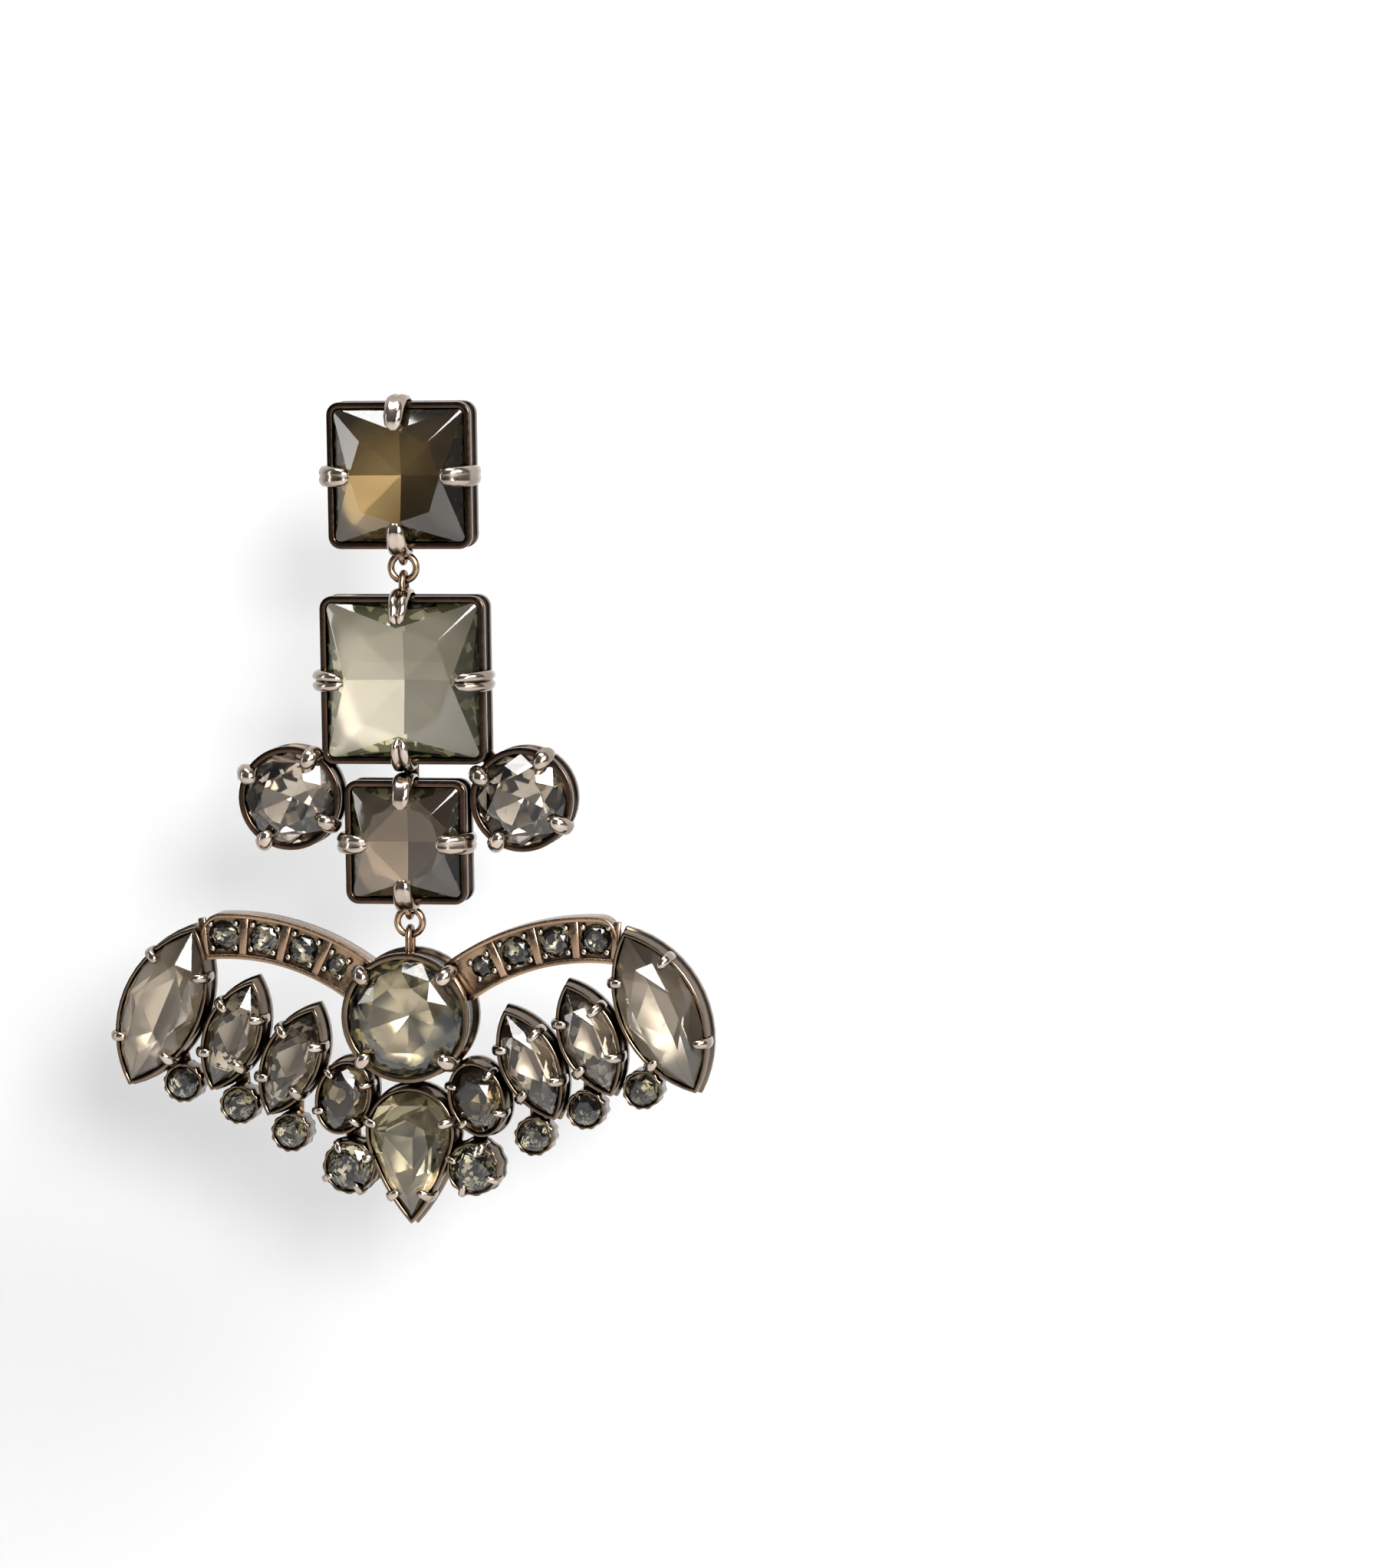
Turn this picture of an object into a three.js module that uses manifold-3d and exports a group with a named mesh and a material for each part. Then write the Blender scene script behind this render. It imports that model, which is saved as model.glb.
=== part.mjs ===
// Chandelier earring: a square top, a middle drop of two squares and two rounds, and a winged lower drop.
// Millimetres, +Z up. The front faces -Y and +X is on the right of someone who looks at the front.
// The origin is the root of the ear post, where the earring meets the ear.
import * as THREE from 'three';
import { ConvexGeometry } from 'three/addons/geometries/ConvexGeometry.js';
import { mergeVertices } from 'three/addons/utils/BufferGeometryUtils.js';
import Module from 'manifold-3d';

const wasm = await Module();
wasm.setup();

// Stones, at the girdle
const topSquareSide = 12;
const middleSquareSide = 14;
const lowerSquareSide = 10;
const squareCorner = 0.5;
const flankRoundSize = 8.2;
const centreRoundSize = 10.6;
const outerNavetteLength = 15;
const outerNavetteWidth = 6.9;
const smallNavetteLength = 10;
const smallNavetteWidth = 4.6;
const ovalLength = 6.2;
const ovalWidth = 4.4;
const pearLength = 11.6;
const pearWidth = 7.5;
const pearSideRadius = 18;
const smallChatonSize = 2.9;
const lowerChatonSize = 4.2;
const paveSize = 2.8;
const endPaveSize = 2;
const girdleHeight = 0.3;

// Cuts, as shares of a stone's size or width: the height of the crown, the table and the keel
const squareCrown = 0.16;
const roundCrown = 0.17;
const longCrown = 0.25;
const roundTable = 0.58;
const longTable = 0.6;
const squareTableMiddle = 0.7;
const squareTableCorner = 0.53;
const keelShare = 1 / 3;

// How finely the outlines are drawn: sides of a whole outline or steps of one arc
const cornerSteps = 3;
const flankSides = 16;
const centreSides = 20;
const chatonSides = 12;
const paveSides = 8;
const ovalSides = 16;
const navetteSteps = 6;
const pearSideSteps = 4;
const pearHeadSteps = 10;
const wireSides = 6;
const ringSteps = 16;
const bowSteps = 8;
const loopSteps = 14;

// Cups
const stoneGap = 0.1;
const cupWall = 0.3;
const railWidth = 0.25;
const centreRailWidth = 0.4;
const lowerChatonRailWidth = 0.15;
const railHeight = 0.8;
const railSlope = 0.2;
const backPlate = 0.6;
const squareCupDepth = 3.2;
const flankCupDepth = 3.2;
const centreCupDepth = 4.4;
const navetteCupDepth = 3;
const ovalCupDepth = 3.2;
const pearCupDepth = 3.4;
const chatonCupDepth = 2.6;
const bridgeWidth = 1.4;
const bridgeInset = 0.12;
const cupSeam = 0.08;

// Claws: where they start, how far they stand out of the cup, their width, how far they reach over the
// stone and above the rim, and where they bend as shares of the rise and of the way in
const squareClawStart = 0.3;
const squareClawThickness = 0.75;
const squareClawWidth = 2;
const squareClawReach = 1.9;
const squareClawRise = 2.3;
const roundClawThickness = 0.6;
const roundClawWidth = 1.2;
const centreClawWidth = 1.4;
const roundClawReach = 0.9;
const roundClawRise = 1.1;
const roundClawBall = 0.75;
const barClawThickness = 0.25;
const barClawWidth = 0.8;
const barClawReach = 0.7;
const barClawRise = 0.9;
const smallClawReach = 0.35;
const smallClawRise = 0.65;
const clawBend = 0.6;
const clawShoulder = 0.5;

// Rings and loops
const ringSize = 3;
const ringWire = 0.65;
const loopWire = 0.6;
const loopBow = 0.85;
const linkGap = 0.08;
const ringHeadroom = 0.25;
const middleBailRise = 2.35;
const wingBailRise = 2.15;
const topHangDepth = 1.9;
const middleHangDepth = 1.96;
const wingHangDepth = 1.62;

// Post
const postLength = 10.5;
const postSize = 0.9;
const padSize = 5;
const padThickness = 0.6;
const padGap = 0.05;
const postAboveCentre = 1.5;

// Middle drop
const squareSpacing = 1.5;
const flankSeam = 0.15;
const flankClawAngle = 60;

// Wing arms
const armWidth = 4.2;
const armDepth = 2.6;
const armRise = 1.2;
const armRim = 0.5;
const channelDepth = 0.5;
const channelBar = 1;
const channelEndBar = 0.6;
const channelLap = 0.15;
const grainSize = 0.5;
const grainLap = 0.15;
const grainStand = 0.1;
const armInnerAngle = 34;
const armInnerReach = 0.84;
const armInnerLap = 1.5;
const armOuterReach = 1.05;
const armOuterShare = 0.93;
const armShoulder = 1.8;
const armStepAngle = 4;
const armEndAngles = [15, 35, 60, 90];

const round = (degrees) => new THREE.Vector2(
  Math.cos(THREE.MathUtils.degToRad(degrees)),
  Math.sin(THREE.MathUtils.degToRad(degrees)),
);
const turned = (point, degrees) => (
  point.clone().rotateAround(new THREE.Vector2(), THREE.MathUtils.degToRad(degrees))
);

// Outlines: loops of points as the front shows them, x and z, anticlockwise, drawn larger by grow

function arc(x, z, radius, from, to, steps) {
  const points = [];
  for (let i = 0; i <= steps; i += 1) {
    const way = round(from + ((to - from) * i) / steps);
    points.push(way.multiplyScalar(radius).add(new THREE.Vector2(x, z)));
  }
  return points;
}

function squareOutline(side, grow) {
  const inner = side / 2 - squareCorner;
  return [0, 90, 180, 270].flatMap((turn) => {
    const corner = arc(inner, inner, squareCorner + grow, 0, 90, cornerSteps);
    return corner.map((point) => turned(point, turn));
  });
}

function roundOutline(size, sides, grow) {
  const apothemToCorner = 1 / Math.cos(Math.PI / sides);
  return arc(0, 0, (size / 2 + grow) * apothemToCorner, 0, 360, sides).slice(0, -1);
}

function navetteOutline(length, width, grow) {
  const radius = (length ** 2 + width ** 2) / (4 * width);
  const bend = radius - width / 2;
  const sweep = THREE.MathUtils.radToDeg(Math.acos(bend / (radius + grow)));
  const right = arc(-bend, 0, radius + grow, -sweep, sweep, navetteSteps);
  const left = arc(bend, 0, radius + grow, 180 - sweep, 180 + sweep, navetteSteps);
  return [...right.slice(0, -1), ...left.slice(0, -1)];
}

function ovalOutline(length, width, grow) {
  return arc(0, 0, 1, 0, 360, ovalSides).slice(0, -1).map((point) => (
    new THREE.Vector2(point.x * (width / 2 + grow), point.y * (length / 2 + grow))
  ));
}

// A round head that runs down in two shallow arcs to a point
function pearOutline(length, width, grow) {
  const head = width / 2;
  const headZ = length / 2 - head;
  const tip = length - head;
  const sideZ = (2 * pearSideRadius * head - head ** 2 - tip ** 2) / (2 * tip);
  const sideX = Math.sqrt((pearSideRadius - head) ** 2 - sideZ ** 2);
  const headAngle = THREE.MathUtils.radToDeg(Math.atan2(-sideZ, sideX));
  const tipAngle = -THREE.MathUtils.radToDeg(Math.acos(sideX / (pearSideRadius + grow)));
  const sideArc = (x, from, to) => (
    arc(x, headZ + sideZ, pearSideRadius + grow, from, to, pearSideSteps)
  );
  const right = sideArc(-sideX, tipAngle, headAngle);
  const top = arc(0, headZ, head + grow, headAngle, 180 - headAngle, pearHeadSteps);
  const left = sideArc(sideX, 180 - headAngle, 180 - tipAngle);
  return [...right.slice(0, -1), ...top, ...left.slice(1, -1)];
}

// Cuts: how a table is drawn on an outline, and where the pavilion ends, as shares of the stone

const everySecond = (points) => points.filter((point, i) => i % 2 === 0);
const scaledTable = (share) => (outline) => (
  everySecond(outline).map((point) => point.clone().multiplyScalar(share))
);

// The corners of a square's table are drawn in further than the middles of its sides
function squareTable(outline) {
  const reach = Math.max(...outline.map((point) => point.x));
  return [0, 90, 180, 270].flatMap((turn) => {
    const middle = new THREE.Vector2(squareTableMiddle, 0).multiplyScalar(reach);
    const corner = new THREE.Vector2(squareTableCorner, squareTableCorner).multiplyScalar(reach);
    return [turned(middle, turn), turned(corner, turn)];
  });
}

const pointCulet = () => [new THREE.Vector2()];
const keelCulet = (length, width) => () => (
  [-1, 1].map((end) => new THREE.Vector2(0, end * keelShare * (length - width)))
);

function roundStone(size, sides, cup) {
  return {
    outline: (grow) => roundOutline(size, sides, grow),
    table: scaledTable(roundTable),
    culet: pointCulet,
    crown: roundCrown * size,
    ...cup,
  };
}

function squareStone(side) {
  return {
    outline: (grow) => squareOutline(side, grow),
    table: squareTable,
    culet: pointCulet,
    crown: squareCrown * side,
    ...squareCup,
  };
}

function longStone(outlineOf, length, width, cup) {
  return {
    outline: (grow) => outlineOf(length, width, grow),
    table: scaledTable(longTable),
    culet: keelCulet(length, width),
    crown: longCrown * width,
    ...cup,
  };
}

// Cups: a depth and the rails that stand out of the wall at the back and at the rim

const squareCup = { depth: squareCupDepth, backRail: railWidth, rimRail: railWidth };
const flankCup = { depth: flankCupDepth, backRail: railWidth, rimRail: railWidth };
const centreCup = { depth: centreCupDepth, backRail: centreRailWidth, rimRail: railWidth };
const navetteCup = { depth: navetteCupDepth, backRail: railWidth, rimRail: 0 };
const ovalCup = { depth: ovalCupDepth, backRail: railWidth, rimRail: 0 };
const pearCup = { depth: pearCupDepth, backRail: railWidth, rimRail: 0 };
const chatonCup = { depth: chatonCupDepth, backRail: 0, rimRail: 0 };
const lowerChatonCup = { depth: ovalCupDepth, backRail: lowerChatonRailWidth, rimRail: 0 };

const cuts = {
  topSquare: squareStone(topSquareSide),
  middleSquare: squareStone(middleSquareSide),
  lowerSquare: squareStone(lowerSquareSide),
  flankRound: roundStone(flankRoundSize, flankSides, flankCup),
  centreRound: roundStone(centreRoundSize, centreSides, centreCup),
  outerNavette: longStone(navetteOutline, outerNavetteLength, outerNavetteWidth, navetteCup),
  smallNavette: longStone(navetteOutline, smallNavetteLength, smallNavetteWidth, navetteCup),
  oval: longStone(ovalOutline, ovalLength, ovalWidth, ovalCup),
  pear: longStone(pearOutline, pearLength, pearWidth, pearCup),
  chaton: roundStone(smallChatonSize, chatonSides, chatonCup),
  lowerChaton: roundStone(lowerChatonSize, chatonSides, lowerChatonCup),
};

const rimGrow = (cut) => stoneGap + cupWall + cut.rimRail;
const backGrow = (cut) => stoneGap + cupWall + cut.backRail;
const cupGrow = (cut) => Math.max(rimGrow(cut), backGrow(cut));
const support = (outline, direction) => Math.max(...outline.map((point) => point.dot(direction)));

// Materials

const finish = (color, roughness, metalness) => (
  new THREE.MeshStandardMaterial({ color, roughness, metalness, flatShading: true })
);
const metal = finish(0x8a7460, 0.35, 1);
const glass = (color) => finish(color, 0.05, 0);
const olive = glass(0x6b5a3c);
const greyGreen = glass(0x9c9a88);
const taupe = glass(0x7a6c5c);
const smoke = glass(0x8c8474);
const brown = glass(0x4c4030);
const khaki = glass(0xa8a47c);
const blackDiamond = glass(0x3a382c);

// Solids

function solidOf(geometry, matrix = new THREE.Matrix4()) {
  const plain = geometry.clone().applyMatrix4(matrix);
  plain.deleteAttribute('normal');
  plain.deleteAttribute('uv');
  const merged = mergeVertices(plain, 1e-4);
  const mesh = new wasm.Mesh({
    numProp: 3,
    vertProperties: merged.attributes.position.array,
    triVerts: new Uint32Array(merged.index.array),
  });
  return new wasm.Manifold(mesh);
}

function geometryOf(solid) {
  const mesh = solid.getMesh();
  const geometry = new THREE.BufferGeometry();
  geometry.setAttribute('position', new THREE.BufferAttribute(mesh.vertProperties, 3));
  geometry.setIndex(new THREE.BufferAttribute(mesh.triVerts, 1));
  return geometry;
}

const join = (solids) => solids.reduce((whole, solid) => whole.add(solid));
const cutAway = (solid, tools) => tools.reduce((left, tool) => left.subtract(tool), solid);

// Where a piece lies in its drop: a point seen from the front and a turn, anticlockwise
function placed(point, turn = 0) {
  return new THREE.Matrix4().makeRotationY(-THREE.MathUtils.degToRad(turn)).setPosition(point.x, 0, point.y);
}

// A closed body through loops of equal length, from the back to the front, with a flat cap at each end
function loft(sections) {
  const count = sections[0].loop.length;
  const last = (sections.length - 1) * count;
  const positions = sections.flatMap(({ loop, y }) => loop.flatMap((point) => [point.x, y, point.y]));
  const index = [];
  const backCentre = sections.length * count;
  positions.push(0, sections[0].y, 0, 0, sections.at(-1).y, 0);
  for (let i = 0; i < count; i += 1) {
    const next = (i + 1) % count;
    for (let row = 0; row < last; row += count) {
      index.push(row + i, row + next, row + count + i);
      index.push(row + next, row + count + next, row + count + i);
    }
    index.push(backCentre, next, i);
    index.push(backCentre + 1, last + i, last + next);
  }
  const geometry = new THREE.BufferGeometry();
  geometry.setAttribute('position', new THREE.Float32BufferAttribute(positions, 3));
  geometry.setIndex(index);
  return geometry;
}

const pointsAt = (loop, y) => loop.map((point) => new THREE.Vector3(point.x, y, point.y));

// A cut stone in a cup whose back is at y = 0: girdle just below the rim, table in front, pavilion behind
function cutStone(cut) {
  const front = -cut.depth + stoneGap;
  const girdle = cut.outline(0);
  return new ConvexGeometry([
    ...pointsAt(cut.table(girdle), front - cut.crown),
    ...pointsAt(girdle, front),
    ...pointsAt(girdle, front + girdleHeight),
    ...pointsAt(cut.culet(), -backPlate - stoneGap),
  ]);
}

// The room that a stone takes in its cup and under its claws
function stoneRoom(cut) {
  const loop = cut.outline(stoneGap);
  return new ConvexGeometry([
    ...pointsAt(cut.table(loop), -cut.depth - cut.crown),
    ...pointsAt(loop, -cut.depth),
    ...pointsAt(loop, -backPlate),
  ]);
}

// The cup as a block: a rail at the back, a wall set back from it and a rail at the rim
function cupBlock(cut) {
  const wall = cut.outline(stoneGap + cupWall);
  const back = cut.outline(backGrow(cut));
  const rim = cut.outline(rimGrow(cut));
  const backRail = [
    { loop: back, y: 0 },
    { loop: back, y: -railHeight },
    { loop: wall, y: -railHeight - railSlope },
  ];
  const rimRail = [
    { loop: wall, y: railHeight + railSlope - cut.depth },
    { loop: rim, y: railHeight - cut.depth },
  ];
  const front = [{ loop: rim, y: -cut.depth }];
  return loft([
    ...(cut.backRail > 0 ? backRail : [{ loop: wall, y: 0 }]),
    ...(cut.rimRail > 0 ? rimRail : []),
    ...front,
  ]);
}

// Where a ray from the cup's centre crosses an outline, and the way out of the outline there
function edgeAt(outline, degrees) {
  const ray = round(degrees);
  for (let i = 0; i < outline.length; i += 1) {
    const start = outline[i];
    const side = outline[(i + 1) % outline.length].clone().sub(start);
    const share = -start.cross(ray) / side.cross(ray);
    const point = start.clone().addScaledVector(side, share);
    if (share >= 0 && share < 1 && point.dot(ray) > 0) {
      return { point, out: new THREE.Vector2(side.y, -side.x).normalize() };
    }
  }
  throw new Error('the outline does not surround its centre');
}

// A claw up the side of a cup and over its stone, drawn across the rim and extruded along it
function claw(cut, degrees, style) {
  const { point, out } = edgeAt(cut.outline(0), degrees);
  const outside = cupGrow(cut) + style.thickness;
  const shape = new THREE.Shape();
  shape.moveTo(stoneGap, style.start);
  shape.lineTo(outside, style.start);
  shape.lineTo(outside, cut.depth);
  shape.lineTo(clawShoulder * outside, cut.depth + clawBend * style.rise);
  shape.lineTo(-style.reach, cut.depth + style.rise);
  shape.lineTo(-style.reach, cut.depth);
  shape.lineTo(stoneGap, cut.depth);
  const body = new THREE.ExtrudeGeometry(shape, { depth: style.width, bevelEnabled: false, steps: 1 });
  body.translate(0, 0, -style.width / 2);
  const matrix = new THREE.Matrix4().makeBasis(
    new THREE.Vector3(out.x, 0, out.y),
    new THREE.Vector3(0, -1, 0),
    new THREE.Vector3(out.y, 0, -out.x),
  );
  const solid = solidOf(body, matrix.setPosition(point.x, 0, point.y));
  if (!style.ball) {
    return solid;
  }
  const ball = new THREE.SphereGeometry(style.ball, wireSides, wireSides - 1);
  const seat = point.clone().addScaledVector(out, style.ball - style.reach);
  ball.translate(seat.x, -cut.depth - clawBend * style.rise, seat.y);
  return solid.add(solidOf(ball));
}

const squareClaw = {
  start: squareClawStart,
  thickness: squareClawThickness,
  width: squareClawWidth,
  reach: squareClawReach,
  rise: squareClawRise,
};
const roundClaw = {
  start: railHeight,
  thickness: roundClawThickness,
  width: roundClawWidth,
  reach: roundClawReach,
  rise: roundClawRise,
  ball: roundClawBall,
};
const barClaw = {
  start: railHeight,
  thickness: barClawThickness,
  width: barClawWidth,
  reach: barClawReach,
  rise: barClawRise,
};
const smallClaw = { ...barClaw, reach: smallClawReach, rise: smallClawRise };

// A flat strip, sunk in the back plates, that ties two cups together
function bridge(from, to) {
  const span = to.clone().sub(from);
  const strip = new THREE.BoxGeometry(span.length(), backPlate - 2 * bridgeInset, bridgeWidth);
  const middle = from.clone().add(to).multiplyScalar(0.5);
  const turn = THREE.MathUtils.radToDeg(span.angle());
  return solidOf(strip.translate(0, -backPlate / 2, 0), placed(middle, turn));
}

// A wire loop edge-on to the front: two legs from the metal at rootZ and a bow whose wire reaches bowZ
function wireLoop(rootZ, bowZ, hangDepth) {
  const side = Math.sign(bowZ - rootZ);
  const bowCentre = bowZ - side * loopBow;
  const bow = arc(-hangDepth, bowCentre, loopBow, side * 180, 0, bowSteps);
  const legs = [-1, 1].map((leg) => new THREE.Vector2(-hangDepth + leg * loopBow, rootZ));
  const route = [legs[0], ...bow, legs[1]].map((point) => new THREE.Vector3(0, point.x, point.y));
  const section = new THREE.Shape(arc(0, 0, loopWire / 2, 0, 360, wireSides).slice(0, -1));
  const path = new THREE.CatmullRomCurve3(route, false, 'centripetal');
  const sweep = { extrudePath: path, steps: loopSteps, bevelEnabled: false };
  return solidOf(new THREE.ExtrudeGeometry(section, sweep));
}

// One setting: every cup, claw and tie joined, then the room of every stone cut out
function setting(seats, extras) {
  const blocks = seats.flatMap(({ cut, point, turn, claws }) => {
    const matrix = placed(point, turn);
    const cup = solidOf(cupBlock(cut), matrix);
    const held = claws.map(({ angle, style }) => solidOf(geometryOf(claw(cut, angle, style)), matrix));
    return [cup, ...held];
  });
  const rooms = seats.map(({ cut, point, turn }) => solidOf(stoneRoom(cut), placed(point, turn)));
  return cutAway(join([...blocks, ...extras]), rooms);
}

function namedMesh(name, geometry, material) {
  const mesh = new THREE.Mesh(geometry, material);
  mesh.name = name;
  return mesh;
}

function stoneMesh({ name, cut, point, turn, material }) {
  const mesh = namedMesh(name, cutStone(cut), material);
  mesh.applyMatrix4(placed(point, turn));
  return mesh;
}

const centre = new THREE.Vector2();
const quarters = [0, 90, 180, 270];
const diagonals = [45, 135, 225, 315];
const clawsAt = (angles, style) => angles.map((angle) => ({ angle, style }));

// Four claws of a square whose lowest one stays in front of the ring that hangs there
const looseEndClaws = (hangDepth) => quarters.map((angle) => ({
  angle,
  style: angle === 270 ? { ...squareClaw, start: hangDepth + ringWire } : squareClaw,
}));

// How far a cup reaches from its centre, straight up, down or across
const half = (cut) => support(cut.outline(cupGrow(cut)), new THREE.Vector2(1, 0));

// How far apart, along a direction, two outlines lie when they just touch
function touching(fixed, moved, direction) {
  let distance = Infinity;
  for (let degrees = 0; degrees < 360; degrees += 2) {
    const normal = round(degrees);
    const along = normal.dot(direction);
    if (along > 0.05) {
      const reach = support(fixed, normal) + support(moved, normal.clone().negate());
      distance = Math.min(distance, reach / along);
    }
  }
  return distance;
}

const footprint = (cut, turn) => cut.outline(cupGrow(cut)).map((point) => turned(point, turn));

function beside(neighbour, cut, turn, degrees, seam = cupSeam) {
  const direction = round(degrees);
  const distance = touching(footprint(neighbour.cut, neighbour.turn), footprint(cut, turn), direction);
  return neighbour.point.clone().addScaledVector(direction, distance + seam);
}

// Heights, from the top down. A ring hangs on the loop above it and carries the bail below it.

const ringRadius = (ringSize - ringWire) / 2;
const bearing = (ringWire + loopWire) / 2 + linkGap;
const hangY = -padThickness - padGap - topHangDepth;

function hungRing(frameBottomZ) {
  const topWireZ = frameBottomZ - ringHeadroom - ringWire / 2;
  const z = topWireZ - ringRadius;
  return { z, loopZ: topWireZ - bearing, bailZ: z - ringRadius + bearing };
}

const topZ = -postAboveCentre;
const upperRing = hungRing(topZ - half(cuts.topSquare));
const middleTop = upperRing.bailZ + loopWire / 2 - middleBailRise;
const middleZ = middleTop - half(cuts.middleSquare);
const lowerSquareDrop = half(cuts.middleSquare) + squareSpacing + half(cuts.lowerSquare);
const lowerFrameZ = middleZ - lowerSquareDrop - half(cuts.lowerSquare);
const lowerRing = hungRing(lowerFrameZ);
const wingZ = lowerRing.bailZ + loopWire / 2 - wingBailRise - half(cuts.centreRound);

function earPost() {
  const pad = new THREE.CylinderGeometry(padSize / 2, padSize / 2, padThickness, 16);
  pad.translate(0, -padThickness / 2, 0);
  const post = new THREE.CylinderGeometry(postSize / 2, postSize / 2, postLength + padThickness / 2, 10);
  post.translate(0, postLength / 2 - padThickness / 4, 0);
  return geometryOf(solidOf(pad).add(solidOf(post)));
}

function jumpRing() {
  const ring = new THREE.TorusGeometry(ringRadius, ringWire / 2, wireSides, ringSteps);
  return ring.rotateX(Math.PI / 2);
}

// Where the legs of a loop end, in the middle of a cup's wall
const rooted = (cut) => support(cut.outline(stoneGap + cupWall / 2), new THREE.Vector2(1, 0));

function topDrop() {
  const cut = cuts.topSquare;
  const seats = [{
    name: 'top_square',
    cut,
    point: centre,
    turn: 0,
    material: olive,
    claws: looseEndClaws(topHangDepth),
  }];
  const loop = wireLoop(-rooted(cut), upperRing.loopZ - topZ, topHangDepth);
  return { name: 'top_setting', seats, extras: [loop] };
}

function middleDrop() {
  const middle = {
    name: 'middle_square',
    cut: cuts.middleSquare,
    point: centre,
    turn: 0,
    material: greyGreen,
    claws: clawsAt(quarters, squareClaw),
  };
  const lower = {
    name: 'lower_square',
    cut: cuts.lowerSquare,
    point: new THREE.Vector2(0, -lowerSquareDrop),
    turn: 0,
    material: taupe,
    claws: looseEndClaws(middleHangDepth),
  };
  const flanks = ['right', 'left'].map((side) => {
    const mirror = side === 'right' ? 1 : -1;
    const point = beside(middle, cuts.flankRound, 0, 90 - mirror * 135, flankSeam);
    const angles = quarters.map((angle) => 90 - mirror * (90 - flankClawAngle - angle));
    return {
      name: `flank_round_${side}`,
      cut: cuts.flankRound,
      point,
      turn: 0,
      material: smoke,
      claws: clawsAt(angles, roundClaw),
    };
  });
  const bail = wireLoop(rooted(middle.cut), upperRing.bailZ - middleZ, middleHangDepth);
  const loop = wireLoop(lower.point.y - rooted(lower.cut), lowerRing.loopZ - middleZ, middleHangDepth);
  const bridges = [lower, ...flanks].map((seat) => bridge(middle.point, seat.point));
  const seats = [middle, lower, ...flanks];
  return { name: 'middle_setting', seats, extras: [bail, loop, ...bridges] };
}

// Cups of one half of the wing, each laid against a neighbour: the direction from it, and the cup's turn
const wingRows = [
  { name: 'oval', cut: 'oval', from: 'centre_round', direction: -50.5, turn: 17 },
  { name: 'inner_navette', cut: 'smallNavette', from: 'oval', direction: 33, turn: 24.5 },
  { name: 'middle_navette', cut: 'smallNavette', from: 'inner_navette', direction: 23, turn: 22 },
  { name: 'outer_navette', cut: 'outerNavette', from: 'middle_navette', direction: 21.6, turn: 24 },
  { name: 'outer_chaton', cut: 'chaton', from: 'outer_navette', direction: -104, turn: 0 },
  { name: 'second_chaton', cut: 'chaton', from: 'middle_navette', direction: -94, turn: 0 },
  { name: 'inner_chaton', cut: 'chaton', from: 'inner_navette', direction: -88, turn: 0 },
  { name: 'lower_chaton', cut: 'lowerChaton', from: 'oval', direction: -94, turn: 20 },
];

// Glass of the wing's stones
const wingGlass = {
  oval: brown,
  smallNavette: taupe,
  outerNavette: taupe,
  chaton: blackDiamond,
  lowerChaton: blackDiamond,
};

// Claws of the wing's cups, as angles from the cup's own right
const wingClaws = {
  centreRound: clawsAt(diagonals, { ...roundClaw, width: centreClawWidth }),
  pear: clawsAt([40, 140, 247, 293], barClaw),
  outerNavette: clawsAt([58, 122, 238, 302], barClaw),
  smallNavette: clawsAt([52, 128, 232, 308], barClaw),
  oval: clawsAt(diagonals, smallClaw),
  lowerChaton: clawsAt(diagonals, smallClaw),
  chaton: [],
};

// Both halves of the wing, from its rows; the left one mirrors the right
function wingSeats(centreSeat) {
  return ['right', 'left'].flatMap((side) => {
    const mirror = side === 'right' ? 1 : -1;
    const seats = new Map([[centreSeat.name, centreSeat]]);
    wingRows.forEach((row) => {
      const cut = cuts[row.cut];
      const turn = mirror * row.turn;
      const direction = 90 - mirror * (90 - row.direction);
      const neighbour = seats.get(row.from);
      seats.set(row.name, {
        name: `${row.name}_${side}`,
        cut,
        point: beside(neighbour, cut, turn, direction),
        turn,
        material: wingGlass[row.cut],
        claws: wingClaws[row.cut],
        neighbour,
      });
    });
    return [...seats.values()].slice(1);
  });
}

// The arc of an arm, from the centre cup's side to the top of the outer navette
function armArc(outerSeat, mirror) {
  const inner = round(armInnerAngle).multiplyScalar(half(cuts.centreRound) + armInnerReach);
  const tip = turned(new THREE.Vector2(0, outerNavetteLength / 2), mirror * outerSeat.turn);
  const outer = outerSeat.point.clone();
  outer.x *= mirror;
  outer.addScaledVector(tip, armOuterShare);
  outer.x -= armOuterReach;
  const chord = outer.clone().sub(inner);
  const radius = (chord.length() ** 2 / 4 + armRise ** 2) / (2 * armRise);
  const up = new THREE.Vector2(-chord.y, chord.x).normalize();
  const middle = inner.clone().add(outer).multiplyScalar(0.5).addScaledVector(up, armRise - radius);
  const angleOf = (point) => THREE.MathUtils.radToDeg(point.clone().sub(middle).angle());
  return { middle, radius, inner: angleOf(inner), outer: angleOf(outer) };
}

// The outline of an arm between two angles and two radii
function armStretch({ middle, radius }, from, to, halfWidth) {
  const steps = Math.max(2, Math.round(Math.abs(to - from) / armStepAngle));
  return [
    ...arc(middle.x, middle.y, radius + halfWidth, from, to, steps),
    ...arc(middle.x, middle.y, radius - halfWidth, to, from, steps),
  ];
}

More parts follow.
